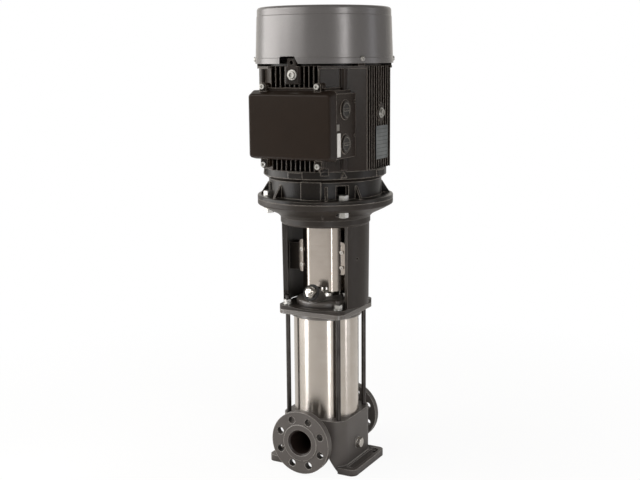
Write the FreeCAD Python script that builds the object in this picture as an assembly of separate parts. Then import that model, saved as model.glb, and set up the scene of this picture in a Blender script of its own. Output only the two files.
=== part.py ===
import FreeCAD, Part
import math
import os
from FreeCAD import Vector as V

os.makedirs("parts", exist_ok=True)

# Vertical multistage pump with its flange motor, in millimetres.
# +Z is up along the shaft, the suction port looks to -Y and the discharge port to +Y.
# The origin lies on the shaft axis, level with the underside of the feet.

# Fits
PLAY = 0.3            # between curved faces of separate bodies, and loose seats
SEAT = 0.1            # between a turned part and the casting that it is pressed into
RUN = 0.05            # radial play of a shaft in its bush

# Sleeve, which sets the rings of the base, the stages and the head
SLEEVE_OD = 171.0
SLEEVE_WALL = 2.0
SLEEVE_TOP = 406.0
SLEEVE_DIP = 4.0      # how far the sleeve reaches into base and head
GASKET_T = 3.0
SLEEVE_R = SLEEVE_OD / 2

# Ports
PORT_Z = 90.0         # height of the port axis
PORT_SPAN = 300.0     # from face to face of the two flanges
PORT_BORE = 60.0
PORT_MOUTH = 5.0      # chamfer at the mouth of each port
PORT_RELIEF = 3.0     # step that widens each bore where it meets the inner spaces
FLANGE_OD = 165.0
FLANGE_T = 20.0
FACE_OD = 96.0        # raised sealing face
FACE_T = 2.0
FLANGE_PCD = 125.0
FLANGE_HOLES = 8
SUCTION_HOLE = 19.0
DISCHARGE_HOLE = 18.0
NECK_OD = 88.0

# Base casting
BASE_TOP = 139.0
BASE_HALF = SLEEVE_R + 6.5      # half the side of the rounded square body
BASE_ROUND = 36.0
CAVITY_R = SLEEVE_R - 5.5       # ring space that the water comes back down to
CAVITY_FLOOR = 54.0
EYE_R = 40.0          # middle space under the first impeller
EYE_WALL = 8.0
FOOT_IN = 78.0        # inner edge of each foot
FOOT_OUT = 129.0
FOOT_L = 184.0
FOOT_T = 17.0
FOOT_CORNER = 17.0
FOOT_POCKET = 5.0     # depth of the long pocket in the top of a foot
FOOT_POCKET_R = 12.5
LEG_TOP = 76.0        # where the legs start to spread from the corners of the body
LEG_OUT = 108.0       # how far a leg has spread where it meets its foot
LEG_Y = (42.0, 84.0)
LEG_ROUND = 34.0
GAP_HALF_LOW = 78.0   # half the gap between the feet, at the floor and at its top
GAP_HALF_HIGH = 50.0
GAP_TOP = 44.0
FOOT_HOLE = 13.5
FOOT_HOLES_X = 215.0
FOOT_HOLES_Y = 130.0
DRAIN_Z = 58.5
DRAIN_Y = 0.0
DRAIN_AF = 24.0
DRAIN_BOSS_R = 16.0

# Tie rods
ROD_CIRCLE = SLEEVE_R + 18.8    # distance of each tie rod from the shaft axis
ROD_D = 12.0
ROD_TOP = 458.0
ROD_DIP = 30.0        # thread length in the base
ROD_AF = 19.0
ROD_NUT_T = 10.8
ROD_WASHER_T = 2.5
ROD_WASHER_OD = 24.0

# Stages
STAGES = 5
PITCH = 45.0
STACK_Z = 142.0       # underside of the first chamber
CHAMBER_R = CAVITY_R - 6
CHAMBER_WALL = 2.0
EYE_HOLE_R = 31.0     # hole in each chamber floor
TOP_CHAMBER_H = 34.0
IMPELLER_R = CHAMBER_R - 12
SHROUD_T = 2.0
BLADES = 6
BLADE_H = 10.0
VANES = 6
SHAFT_D = 18.0
HUB_R = 14.0
SHAFT_BOTTOM = 134.0

# Pump head
HEAD_SKIRT_R = SLEEVE_R + 7.5
HEAD_Z = 403.0        # lower edge of the skirt
PLATE_Z = 412.0       # underside of the square plate
PLATE_SPLIT = 423.0   # joint between head and stool
STOOL_PLATE_TOP = 434.0
PLATE_CORNER_R = 21.0
DOME_R = SLEEVE_R - 7.5
DOME_TOP = 447.0
GLAND_SEAT_Z = 456.0
GLAND_R = 42.0
GLAND_T = 8.0
SEAL_BODY_R = 26.0
SEAL_HOLE_R = 12.0
VENT_TILT = 30.0      # the vent plug points this far above level
VENT_Y = 79.0         # outer end of the vent boss, out from the shaft axis
VENT_Z = 472.0
VENT_BOSS_R = 21.0
VENT_AF = 27.0
VENT_HEAD_T = 8.0
VENT_CAP_R = 12.0

# Motor stool
STOOL_OUT_LOW = 112.0
STOOL_OUT_HIGH = 114.0
STOOL_WALL = 12.0
WINDOW_HALF_ANGLE = 57.0
WINDOW_TOP = 646.0
RING_R = 116.5
RING_TOP = 664.0
STOOL_TOP = 711.0
MOTOR_FLANGE_R = 175.0
MOTOR_PCD = 2 * MOTOR_FLANGE_R - 50
MOTOR_HOLE = 18.5
MOTOR_BOLT = 16.0
MOTOR_AF = 24.0
MOTOR_HEAD_T = 10.0
MOTOR_NUT_T = 13.0
NUT_SEAT_Z = 691.0
FUNNEL_Z = 688.0      # where the stool has spread almost to the motor flange
FUNNEL_SLOT_ANGLE = -65.2
PILLAR_HOLE = (3.0, 562.0, -17.0)         # radius, height and angle of a hole in the right pillar
SPIGOT_R = 125.0
SPIGOT_H = 5.0

# Coupling guards
GUARD_R = 50.5
GUARD_SHEET = 1.0
GUARD_Z0 = 476.0
GUARD_Z1 = 636.0
WING_Y = 22.0         # front of the flat wings, out from the shaft axis
WING_X = 67.0
WING_Z0 = 512.0
WING_Z1 = 592.0
WING_CLIP = 6.0
WING_SCREW_X = 59.0
WING_SCREW_Z = (WING_Z0 + 20, WING_Z1 - 20)
WING_SCREW_D = 5.0
LUG_IN = 53.0

# Coupling
COUPLING_R = 37.0
COUPLING_Z0 = 492.0
COUPLING_Z1 = 616.0
COUPLING_GAP = 1.5
PUMP_SHAFT_TOP = 548.0
MOTOR_SHAFT_LOW = 556.0
COUPLING_SCREW_D = 10.0
PIN_D = 6.0
PIN_Z = 534.0

# Motor
MOTOR_SHAFT_D = 42.0
SHIELD_NECK_R = 145.0
SHIELD_NECK_TOP = 764.0
SHIELD_R = 157.5
SHIELD_RING_Z = 773.0
SHIELD_RIBS = (-30, -61, -112, -150, 150, 119, 68, 30)
SHIELD_BOSS = (-75.5, 9.5, 766.0)         # middle and half of its angle, and top of the wide boss
RECESS_ANGLE = -62.3  # drain recess under the cable duct
RECESS_TOP = 800.0
FLANGE_T_MOTOR = 10.5
FRAME_Z0 = 792.0
FRAME_Z1 = 1046.0
CORE_R = 132.0        # round wall behind the fins
STATOR_R = 120.0
STATOR_BORE = 76.0
AIR_GAP = 0.7
FIN_PLANE = 153.0     # tips of the fins on each of the four sides
FIN_HALF = 69.0       # half the width of a finned side
FIN_PITCH = 13.2
FIN_T = 3.6
DUCT_OUT = (84.0, 118.0)        # outer corners of the duct in each corner of the frame
DUCT_IN = (80.0, 104.0)
COLUMN_R = 9.0
COLUMN_AT = 111.5
SHIELD_WALL = 8.0
BEARING_W = 25.0
BEARING_OD = 100.0
BEARING_ID = 45.0
BALL_D = 17.0
BALLS = 8
BEARING_LOW_Z = 760.0
BEARING_HIGH_Z = 1056.0
ROTOR_Z0 = 840.0
ROTOR_Z1 = 1000.0

# Fan and cover
COVER_R_LOW = 174.5
COVER_R_HIGH = 169.5
COVER_Z0 = 1052.0
COVER_Z1 = 1189.5
COVER_SHEET = 2.0
COVER_ROUND = 8.0
COVER_STEP = 0.9      # height of the two rolled steps round the wall
COVER_STEP_Z = (1065.0, 1167.0)
COVER_SCREW_ANGLES = (30, 150, 210, 330)
COVER_SCREW_Z = 1063.0
NOTCH_X = (-30.5, 11.0, 22.0)   # left edge, and right edge at the top and at the rim
NOTCH_TOP = 1069.5
FAN_Z = 1102.0
FAN_R = 128.0
FAN_H = 38.0
FAN_BLADES = 8
GRILLE_RINGS = (44.0, 66.0, 88.0, 110.0, 132.0)
GRILLE_SLOT = 13.0
GRILLE_SPOKES = 8

# Terminal box
BOX_X0 = -91.0
BOX_X1 = 133.0
BOX_Z0 = 829.0
BOX_Z1 = 982.0
BOX_BACK = 70.0
BOX_WALL = 5.0
BOX_STEPS = ((6.0, 100.0, 990.0), (24.0, 118.0, 996.0))     # inset, back and top of each step
LID_FRONT = 220.0     # front of the lid, out from the shaft axis
LID_BACK = 196.0      # joint between lid and box
LID_RIM = (-95.0, 137.0, 824.0, 990.0)    # lid at the joint: left, right, bottom, top
LID_FACE = (-91.0, 131.0, 829.0, 981.0)   # lid at its front
LID_CORNER = 9.0
LID_EDGE = 5.0
LUG_SCREW_X = (-58.0, 91.0)
LUG_SCREW_Z = (999.0, 812.0)
GLAND_PLUG_D = 40.0
GLAND_PLUG_Y = 146.0
GLAND_PLUG_Z = (944.0, 863.0)

# Small fittings
PLATE_Y = (-17.0, 50.0)
NAMEPLATE_Z = (815.0, 898.0)
NAMEPLATE_T = 0.8
LIFT_FRONT_X = -3.0
LIFT_FRONT_Z = 1025.5
LIFT_LUG_TOP = 1064.0
LIFT_SIDE_Y = 10.0
LIFT_SIDE_Z = 930.0

UP = V(0, 0, 1)
CENTRE = V(0, 0, 0)
DIAGONALS = (45, 135, 225, 315)


def cyl(radius, z0, z1, x=0.0, y=0.0):
    return Part.makeCylinder(radius, z1 - z0, V(x, y, z0))


def rod(radius, start, direction, length):
    return Part.makeCylinder(radius, length, start, direction)


def tube(outer, inner, z0, z1):
    return cyl(outer, z0, z1).cut(cyl(inner, z0 - 1, z1 + 1))


def box(x0, x1, y0, y1, z0, z1):
    return Part.makeBox(x1 - x0, y1 - y0, z1 - z0, V(x0, y0, z0))


def polar(radius, degrees, z=0.0):
    turn = math.radians(degrees)
    return V(radius * math.cos(turn), radius * math.sin(turn), z)


def turned(shape, degrees, axis=UP, about=CENTRE):
    copy = shape.copy()
    copy.rotate(about, axis, degrees)
    return copy


def moved(shape, x=0.0, y=0.0, z=0.0):
    copy = shape.copy()
    copy.translate(V(x, y, z))
    return copy


def fused(shapes):
    whole = shapes[0]
    if len(shapes) > 1:
        whole = shapes[0].multiFuse(shapes[1:])
    return whole.removeSplitter()


def around(shape, angles):
    return [turned(shape, angle) for angle in angles]


def face_of(corners):
    """Flat face in the XY plane. Each corner is (x, y) or (x, y, radius of its rounding)."""
    count = len(corners)
    starts, ends, middles = [], [], []
    for i, corner in enumerate(corners):
        here = V(corner[0], corner[1], 0)
        radius = corner[2] if len(corner) > 2 else 0.0
        if radius == 0:
            starts.append(here)
            ends.append(here)
            middles.append(None)
            continue
        back = (V(corners[i - 1][0], corners[i - 1][1], 0) - here).normalize()
        on = (V(corners[(i + 1) % count][0], corners[(i + 1) % count][1], 0) - here).normalize()
        half = back.getAngle(on) / 2
        run = radius / math.tan(half)
        inward = (back + on).normalize()
        starts.append(here + back * run)
        ends.append(here + on * run)
        middles.append(here + inward * (radius / math.sin(half) - radius))
    edges = []
    for i in range(count):
        if middles[i] is not None:
            edges.append(Part.Arc(starts[i], middles[i], ends[i]).toShape())
        following = starts[(i + 1) % count]
        if (following - ends[i]).Length > 1e-6:
            edges.append(Part.LineSegment(ends[i], following).toShape())
    return Part.Face(Part.Wire(edges))


def prism(corners, z0, z1):
    """Upright solid over a plan outline."""
    return moved(face_of(corners), z=z0).extrude(V(0, 0, z1 - z0))


def lathe(corners):
    """Solid of revolution about Z. Each corner is (radius, z) or (radius, z, rounding)."""
    upright = turned(face_of(corners), 90, V(1, 0, 0))
    return upright.revolve(CENTRE, UP, 360)


def side_prism(corners, x0, x1):
    """Solid over an outline in the YZ plane, from x0 to x1."""
    upright = turned(face_of(corners), 90, V(1, 0, 0))
    return moved(turned(upright, 90), x=x0).extrude(V(x1 - x0, 0, 0))


def front_prism(corners, y0, y1):
    """Solid over an outline in the XZ plane, from y0 to y1."""
    upright = turned(face_of(corners), 90, V(1, 0, 0))
    return moved(upright, y=y0).extrude(V(0, y1 - y0, 0))


def rounded_box(x0, x1, y0, y1, radius, z0, z1):
    outline = [(x0, y0, radius), (x1, y0, radius), (x1, y1, radius), (x0, y1, radius)]
    return prism(outline, z0, z1)


def hexagon(across_flats, z0, z1):
    """Hexagonal prism about Z with its edges broken by a cone, as on a nut or a bolt head."""
    corner = across_flats / math.sqrt(3)
    block = prism([tuple(polar(corner, 60 * i))[:2] for i in range(6)], z0, z1)
    flat = across_flats / 2 * 0.97
    drop = (corner - flat) * 0.55
    crown = lathe([(0, z0), (corner + 1, z0), (corner + 1, z1 - drop * 1.3), (flat, z1), (0, z1)])
    return block.common(crown)


def aimed(shape, place, direction):
    """Turn a shape that was made along +Z so that it points along a direction, and place it."""
    copy = shape.copy()
    copy.Placement = FreeCAD.Placement(place, FreeCAD.Rotation(UP, direction)).multiply(copy.Placement)
    return copy


def save(name, shape):
    solids = shape.Solids
    if not shape.isValid() or not solids:
        raise ValueError(name + " is not a valid solid")
    kept = solids[0] if len(solids) == 1 else Part.makeCompound(solids)
    kept.exportStep("parts/" + name + ".step")
    print(name, len(solids), round(kept.Volume / 1000, 1), "cm3")


def group(name, shapes):
    save(name, Part.makeCompound(shapes))


# Pump base

def port(side):
    """One port with its flange, neck and raised face; side is -1 for suction, +1 for discharge."""
    hole_r = (DISCHARGE_HOLE if side > 0 else SUCTION_HOLE) / 2
    face_y = PORT_SPAN / 2
    flange = rod(FLANGE_OD / 2, V(0, face_y - FACE_T, PORT_Z), V(0, -1, 0), FLANGE_T - FACE_T)
    raised = rod(FACE_OD / 2, V(0, face_y, PORT_Z), V(0, -1, 0), FLANGE_T)
    neck = rod(NECK_OD / 2, V(0, face_y - FLANGE_T / 2, PORT_Z), V(0, -1, 0), face_y - BASE_HALF)
    shape = fused([flange, raised, neck])
    hole = rod(hole_r, V(0, face_y + 1, PORT_Z + FLANGE_PCD / 2), V(0, -1, 0), FLANGE_T + 2)
    step = 360 / FLANGE_HOLES
    for i in range(FLANGE_HOLES):
        shape = shape.cut(turned(hole, step / 2 + step * i, V(0, 1, 0), V(0, 0, PORT_Z)))
    return shape if side > 0 else turned(shape, 180)


def port_bore(side, inner_end):
    """Bore with a chamfered mouth, ending at inner_end in a wider step towards the inner spaces."""
    face_y = PORT_SPAN / 2
    radius = PORT_BORE / 2
    bore = rod(radius, V(0, face_y + 1, PORT_Z), V(0, -1, 0), face_y + 1 - inner_end)
    step = rod(radius + PORT_RELIEF, V(0, inner_end, PORT_Z), V(0, -1, 0), EYE_R - 8)
    mouth = Part.makeCone(radius + PORT_MOUTH, radius, PORT_MOUTH, V(0, face_y, PORT_Z), V(0, -1, 0))
    cut = fused([bore, step, mouth])
    return cut if side > 0 else turned(cut, 180)


def foot(side):
    """Long foot with a flat top, and a leg at each end that spreads from the corner of the body."""
    y1 = FOOT_L / 2
    bar = prism([(FOOT_IN, -y1, 3), (FOOT_OUT, -y1, FOOT_CORNER), (FOOT_OUT, y1, FOOT_CORNER),
                 (FOOT_IN, y1, 3)], 0, FOOT_T)
    inner_x, low_z = BASE_HALF - 14, FOOT_T - FOOT_POCKET - 4
    near, far = LEG_Y
    slope = front_prism([(inner_x, low_z), (LEG_OUT, low_z), (LEG_OUT, FOOT_T), (BASE_HALF - 1, LEG_TOP),
                         (inner_x, LEG_TOP)], near, far)
    plan = prism([(inner_x, near), (LEG_OUT, near, 6), (LEG_OUT, far, LEG_ROUND), (inner_x, far)],
                 low_z, LEG_TOP)
    leg = slope.common(plan)
    pieces = [bar, leg, leg.mirror(CENTRE, V(0, 1, 0))]
    return pieces if side > 0 else [turned(piece, 180) for piece in pieces]


def foot_pocket(side):
    """Long pocket in the top of a foot, with room over each bolt hole for a washer and a socket."""
    x, y = FOOT_HOLES_X / 2, FOOT_HOLES_Y / 2
    floor = FOOT_T - FOOT_POCKET
    slot = box(x - FOOT_POCKET_R, x + FOOT_POCKET_R, -y, y, floor, FOOT_T + 1)
    ends = [cyl(FOOT_POCKET_R, floor, LEG_TOP, x, place) for place in (-y, y)]
    holes = [cyl(FOOT_HOLE / 2, -1, FOOT_T, x, place) for place in (-y, y)]
    cut = fused([slot] + ends + holes)
    return cut if side > 0 else turned(cut, 180)


def rounded_square(half, radius, z0, z1):
    return rounded_box(-half, half, -half, half, radius, z0, z1)


def pump_base():
    body = rounded_square(BASE_HALF, BASE_ROUND, 0, BASE_TOP)
    boss = rod(DRAIN_BOSS_R, V(BASE_HALF - 6, DRAIN_Y, DRAIN_Z), V(1, 0, 0), 8)
    shape = fused([body, boss, port(-1), port(1)] + foot(-1) + foot(1))
    gap = front_prism([(-GAP_HALF_LOW - 1, -2), (GAP_HALF_LOW + 1, -2), (GAP_HALF_HIGH, GAP_TOP, 12),
                       (-GAP_HALF_HIGH, GAP_TOP, 12)], -FOOT_L / 2 - 1, FOOT_L / 2 + 1)
    shape = shape.cut(gap)
    eye_wall = EYE_R + EYE_WALL
    ring = tube(CAVITY_R, eye_wall, CAVITY_FLOOR, BASE_TOP + 1)
    duct = rod(PORT_BORE / 2 + EYE_WALL, V(0, -CAVITY_R - 4, PORT_Z), V(0, 1, 0), CAVITY_R - EYE_R / 2)
    ring = ring.cut(duct)
    eye = cyl(EYE_R, CAVITY_FLOOR, BASE_TOP + 1)
    rim = tube(CAVITY_R + 1, eye_wall - 12, BASE_TOP - 7, BASE_TOP + 1)
    groove = tube(SLEEVE_R + PLAY, CAVITY_R - 1, BASE_TOP - SLEEVE_DIP - GASKET_T, BASE_TOP + 1)
    shape = shape.cut(fused([ring, eye, rim, groove]))
    shape = shape.cut(port_bore(-1, EYE_R + 1)).cut(port_bore(1, CAVITY_R + 1))
    for angle in DIAGONALS:
        at = polar(ROD_CIRCLE, angle)
        shape = shape.cut(cyl(ROD_D / 2 + SEAT, BASE_TOP - ROD_DIP, BASE_TOP + 1, at.x, at.y))
    shape = shape.cut(foot_pocket(-1)).cut(foot_pocket(1))
    thread = rod(DRAIN_AF / 4, V(CAVITY_R - 8, DRAIN_Y, DRAIN_Z), V(1, 0, 0), 40)
    return shape.cut(thread).removeSplitter()


def drain_plug():
    face_x = BASE_HALF + 2
    direction = V(1, 0, 0)
    washer = tube(DRAIN_AF * 0.58, DRAIN_AF / 4 - 1, 0, 1.5)
    head = turned(hexagon(DRAIN_AF, 1.5, 10), 30)
    stem = cyl(DRAIN_AF / 4 - SEAT, -14, 2)
    return aimed(fused([washer, head, stem]), V(face_x, DRAIN_Y, DRAIN_Z), direction)


# Sleeve, gaskets and tie rods

SLEEVE_BOTTOM = BASE_TOP - SLEEVE_DIP
SLEEVE_IN = SLEEVE_R - SLEEVE_WALL


def outer_sleeve():
    return tube(SLEEVE_R, SLEEVE_IN, SLEEVE_BOTTOM, SLEEVE_TOP)


def sleeve_gaskets():
    outer = SLEEVE_R - SEAT
    inner = CAVITY_R + 0.5
    return [tube(outer, inner, SLEEVE_BOTTOM - GASKET_T, SLEEVE_BOTTOM),
            tube(outer, inner, SLEEVE_TOP, SLEEVE_TOP + GASKET_T)]


def tie_rods():
    stems = []
    for angle in DIAGONALS:
        at = polar(ROD_CIRCLE, angle)
        stem = cyl(ROD_D / 2, BASE_TOP - ROD_DIP, ROD_TOP - 1, at.x, at.y)
        tip = Part.makeCone(ROD_D / 2, ROD_D / 2 - 1, 1, V(at.x, at.y, ROD_TOP - 1))
        stems.append(fused([stem, tip]))
    return stems


def tie_rod_nuts():
    pieces = []
    z = STOOL_PLATE_TOP
    nut_top = z + ROD_WASHER_T + ROD_NUT_T
    hole = cyl(ROD_D / 2 + SEAT, z - 1, nut_top + 1)
    washer = cyl(ROD_WASHER_OD / 2, z, z + ROD_WASHER_T).cut(hole)
    nut = hexagon(ROD_AF, z + ROD_WASHER_T, nut_top).cut(hole)
    for angle in DIAGONALS:
        at = polar(ROD_CIRCLE, angle)
        pieces.append(moved(washer, at.x, at.y))
        pieces.append(moved(turned(nut, angle), at.x, at.y))
    return pieces


# Stages

def inlet_part():
    """Dish that carries the stack, with a three-armed spider for the bottom bush."""
    wall = EYE_R - SEAT
    seat = BASE_TOP - 7
    dish = lathe([(wall - 3, seat - 10), (wall, seat - 10), (wall, seat), (CHAMBER_R, seat),
                  (CHAMBER_R, STACK_Z), (CHAMBER_R - 12, STACK_Z), (CHAMBER_R - 14, seat + 3),
                  (wall - 3, seat + 3)])
    bush = tube(SHAFT_D / 2 + 7, SHAFT_D / 2 + RUN, SHAFT_BOTTOM - 8, SHAFT_BOTTOM + 4)
    arm = box(SHAFT_D / 2 + 4, wall - 1, -2.5, 2.5, seat - 8, seat + 2)
    return fused([dish, bush] + around(arm, (90, 210, 330)))


def return_vane(z0, z1):
    """Bent vane that turns the water back to the middle."""
    start, middle, end = polar(40, 0), polar(57, 18), polar(CHAMBER_R - 1, 44)
    start2, middle2, end2 = polar(40, 4), polar(57, 20.6), polar(CHAMBER_R - 1, 46)
    edges = [Part.Arc(start, middle, end).toShape(), Part.LineSegment(end, end2).toShape(),
             Part.Arc(end2, middle2, start2).toShape(), Part.LineSegment(start2, start).toShape()]
    return moved(Part.Face(Part.Wire(edges)), z=z0).extrude(V(0, 0, z1 - z0))


def chamber(index):
    """Pressed stage chamber: floor with a neck ring, round wall, return vanes under the next floor."""
    z = STACK_Z + PITCH * index
    inner = CHAMBER_R - CHAMBER_WALL
    shell = lathe([(EYE_HOLE_R, z), (CHAMBER_R, z), (CHAMBER_R, z + PITCH), (inner, z + PITCH),
                   (inner, z + CHAMBER_WALL), (EYE_HOLE_R + 2, z + CHAMBER_WALL),
                   (EYE_HOLE_R + 2, z + 5), (EYE_HOLE_R, z + 5)])
    vane = return_vane(z + PITCH - 9, z + PITCH)
    return fused([shell] + around(vane, [360 / VANES * i for i in range(VANES)]))


def top_chamber():
    """Outlet chamber whose wall has windows to the ring space inside the sleeve."""
    z = STACK_Z + PITCH * STAGES
    inner = CHAMBER_R - CHAMBER_WALL
    neck = EYE_HOLE_R - 12
    top = z + TOP_CHAMBER_H
    shell = lathe([(neck, z), (CHAMBER_R, z), (CHAMBER_R, top), (inner, top), (inner, z + CHAMBER_WALL),
                   (neck, z + CHAMBER_WALL)])
    window = box(inner - 4, CHAMBER_R + 2, -14, 14, z + 9, z + 25)
    for angle in range(0, 360, 60):
        shell = shell.cut(turned(window, angle))
    inlet = box(EYE_HOLE_R + 6, inner - 8, -8, 8, z - 1, z + CHAMBER_WALL + 1)
    for angle in range(30, 390, 60):
        shell = shell.cut(turned(inlet, angle))
    return shell


def blade(z0, z1):
    """Backward-curved impeller blade of even thickness."""
    start, middle, end = polar(31, 0), polar(46, 30), polar(IMPELLER_R - 0.5, 48)
    start2, middle2, end2 = polar(31, 5), polar(46, 33.4), polar(IMPELLER_R - 0.5, 50.5)
    edges = [Part.Arc(start, middle, end).toShape(), Part.LineSegment(end, end2).toShape(),
             Part.Arc(end2, middle2, start2).toShape(), Part.LineSegment(start2, start).toShape()]
    return moved(Part.Face(Part.Wire(edges)), z=z0).extrude(V(0, 0, z1 - z0))


def impeller(index):
    """Closed impeller: eye neck, two shrouds, curved blades and a hub as long as the stage pitch."""
    z = STACK_Z + PITCH * index
    neck = EYE_HOLE_R - 2 * PLAY
    low = z + 8
    top = low + SHROUD_T + BLADE_H
    lower = lathe([(neck - 2, z - 2), (neck, z - 2), (neck, low), (IMPELLER_R, low),
                   (IMPELLER_R, low + SHROUD_T), (neck - 2, low + SHROUD_T)])
    upper = lathe([(SHAFT_D / 2 + RUN, top - 14), (HUB_R, top - 14), (HUB_R, top - 5), (HUB_R + 7, top),
                   (IMPELLER_R, top), (IMPELLER_R, top + SHROUD_T), (HUB_R, top + SHROUD_T),
                   (HUB_R, top - 14 + PITCH - 0.2), (SHAFT_D / 2 + RUN, top - 14 + PITCH - 0.2)])
    wing = blade(low + SHROUD_T - 0.5, top + 0.5)
    return fused([lower, upper] + around(wing, [360 / BLADES * i for i in range(BLADES)]))


def pump_shaft():
    radius = SHAFT_D / 2
    shaft = lathe([(0, SHAFT_BOTTOM), (radius - 1, SHAFT_BOTTOM), (radius, SHAFT_BOTTOM + 1),
                  (radius, PUMP_SHAFT_TOP - 1), (radius - 1, PUMP_SHAFT_TOP), (0, PUMP_SHAFT_TOP)])
    return shaft.cut(pin_bore(SEAT))


def shaft_nut():
    last = STACK_Z + PITCH * STAGES + 6
    hole = cyl(SHAFT_D / 2 + RUN, last - 1, last + 20)
    return hexagon(27, last, last + 10).cut(hole)


# Pump head

def square_plate(z0, z1):
    half = ROD_CIRCLE / math.sqrt(2) + PLATE_CORNER_R
    return rounded_square(half, PLATE_CORNER_R, z0, z1)


def rod_holes(z0, z1):
    holes = []
    for angle in DIAGONALS:
        at = polar(ROD_CIRCLE, angle)
        holes.append(cyl(ROD_D / 2 + 2 * PLAY, z0, z1, at.x, at.y))
    return holes


VENT_DIR = V(0, -math.cos(math.radians(VENT_TILT)), math.sin(math.radians(VENT_TILT)))
VENT_END = V(0, -VENT_Y, VENT_Z)


def pump_head():
    skirt = cyl(HEAD_SKIRT_R, HEAD_Z, PLATE_Z + 1)
    plate = square_plate(PLATE_Z, PLATE_SPLIT)
    dome = lathe([(0, PLATE_SPLIT - 1), (DOME_R, PLATE_SPLIT - 1), (DOME_R, DOME_TOP, 6),
                  (GLAND_R + 6, DOME_TOP), (GLAND_R, GLAND_SEAT_Z), (0, GLAND_SEAT_Z)])
    boss = rod(VENT_BOSS_R, VENT_END, VENT_DIR * -1, 46)
    saddle = box(-13, 13, -DOME_R + 8, -30, DOME_TOP - 12, VENT_Z - 10)
    shape = fused([skirt, plate, dome, boss, saddle])
    clamp_z = STACK_Z + PITCH * STAGES + TOP_CHAMBER_H
    clamp = cyl(CHAMBER_R + 4, clamp_z, PLATE_Z)
    seat = tube(SLEEVE_R + PLAY, CHAMBER_R + 4, HEAD_Z - 1, SLEEVE_TOP + GASKET_T)
    room_r = CHAMBER_R - 12
    room = lathe([(0, clamp_z - 1), (room_r, clamp_z - 1), (room_r, DOME_TOP - 20),
                  (room_r - 14, DOME_TOP - 8), (0, DOME_TOP - 8)])
    gland = cyl(GLAND_R + 2, GLAND_SEAT_Z, VENT_Z + 40)
    bore = cyl(SEAL_BODY_R + SEAT, DOME_TOP - 30, GLAND_SEAT_Z + 1)
    well = cyl(SEAL_BODY_R + 8, DOME_TOP - 20, DOME_TOP - 7)
    shape = fused([shape.cut(room), clamp.cut(room), well]).cut(fused([gland, bore])).cut(seat)
    recess = rod(VENT_BOSS_R - 4, VENT_END + VENT_DIR, VENT_DIR * -1, 3)
    thread = rod(VENT_AF / 2 - 3, VENT_END + VENT_DIR, VENT_DIR * -1, 44)
    shape = shape.cut(fused([recess, thread]))
    return shape.cut(Part.makeCompound(rod_holes(PLATE_Z - 1, PLATE_SPLIT + 1))).removeSplitter()


def vent_plug():
    """Priming plug: washer, hexagon with a domed end, thread, and a bore for the vent screw."""
    washer = cyl(VENT_BOSS_R - 5, -2, 0)
    head = hexagon(VENT_AF, 0, VENT_HEAD_T)
    stem = cyl(VENT_AF / 2 - 3 - SEAT, -16, 0)
    plug = fused([washer, head, stem]).cut(cyl(5 + PLAY, -17, VENT_HEAD_T + 1))
    return aimed(plug, VENT_END, VENT_DIR)


def vent_screw():
    """Small screw in the middle of the priming plug that lets the air out."""
    stem = cyl(5, -14, VENT_HEAD_T + PLAY)
    low = VENT_HEAD_T + PLAY
    cap = lathe([(0, low), (VENT_CAP_R, low), (VENT_CAP_R, low + 4, 2), (VENT_CAP_R / 2, low + 6.5, 3),
                 (0, low + 6.5)])
    slot = box(-VENT_CAP_R - 1, VENT_CAP_R + 1, -1, 1, low + 4.5, low + 8)
    return aimed(fused([stem, cap]).cut(slot), VENT_END, VENT_DIR)


def seal_cartridge():
    """Stationary half of the shaft seal: sleeve in the head, gland flange and its cap screws."""
    z = GLAND_SEAT_Z
    body = lathe([(SEAL_HOLE_R, DOME_TOP - 30), (SEAL_BODY_R, DOME_TOP - 30), (SEAL_BODY_R, z), (GLAND_R, z),
                  (GLAND_R, z + GLAND_T), (SEAL_HOLE_R, z + GLAND_T)])
    screws = []
    for angle in (90, 210, 330):
        at = polar(GLAND_R - 8, angle)
        head = cyl(5, z + GLAND_T, z + GLAND_T + 6, at.x, at.y)
        socket = moved(hexagon(5, z + GLAND_T + 3, z + GLAND_T + 7), at.x, at.y)
        screws.append(head.cut(socket))
    return fused([body] + screws)


def seal_driver():
    """Turning half of the shaft seal: collar fixed on the shaft by set screws."""
    z = GLAND_SEAT_Z + GLAND_T + 1
    collar = lathe([(SHAFT_D / 2 + RUN, z), (17, z), (17, z + 14, 1.5), (SHAFT_D / 2 + RUN, z + 14)])
    for angle in (0, 120, 240):
        collar = collar.cut(turned(rod(2.5, V(13, 0, z + 7), V(1, 0, 0), 6), angle))
    return collar


# Motor stool

def sector(radius, half_angle, middle_angle, z0, z1):
    """Wedge about the shaft axis."""
    start = polar(radius, middle_angle - half_angle)
    end = polar(radius, middle_angle + half_angle)
    middle = polar(radius, middle_angle)
    edges = [Part.LineSegment(CENTRE, start).toShape(), Part.Arc(start, middle, end).toShape(),
             Part.LineSegment(end, CENTRE).toShape()]
    return moved(Part.Face(Part.Wire(edges)), z=z0).extrude(V(0, 0, z1 - z0))


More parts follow.
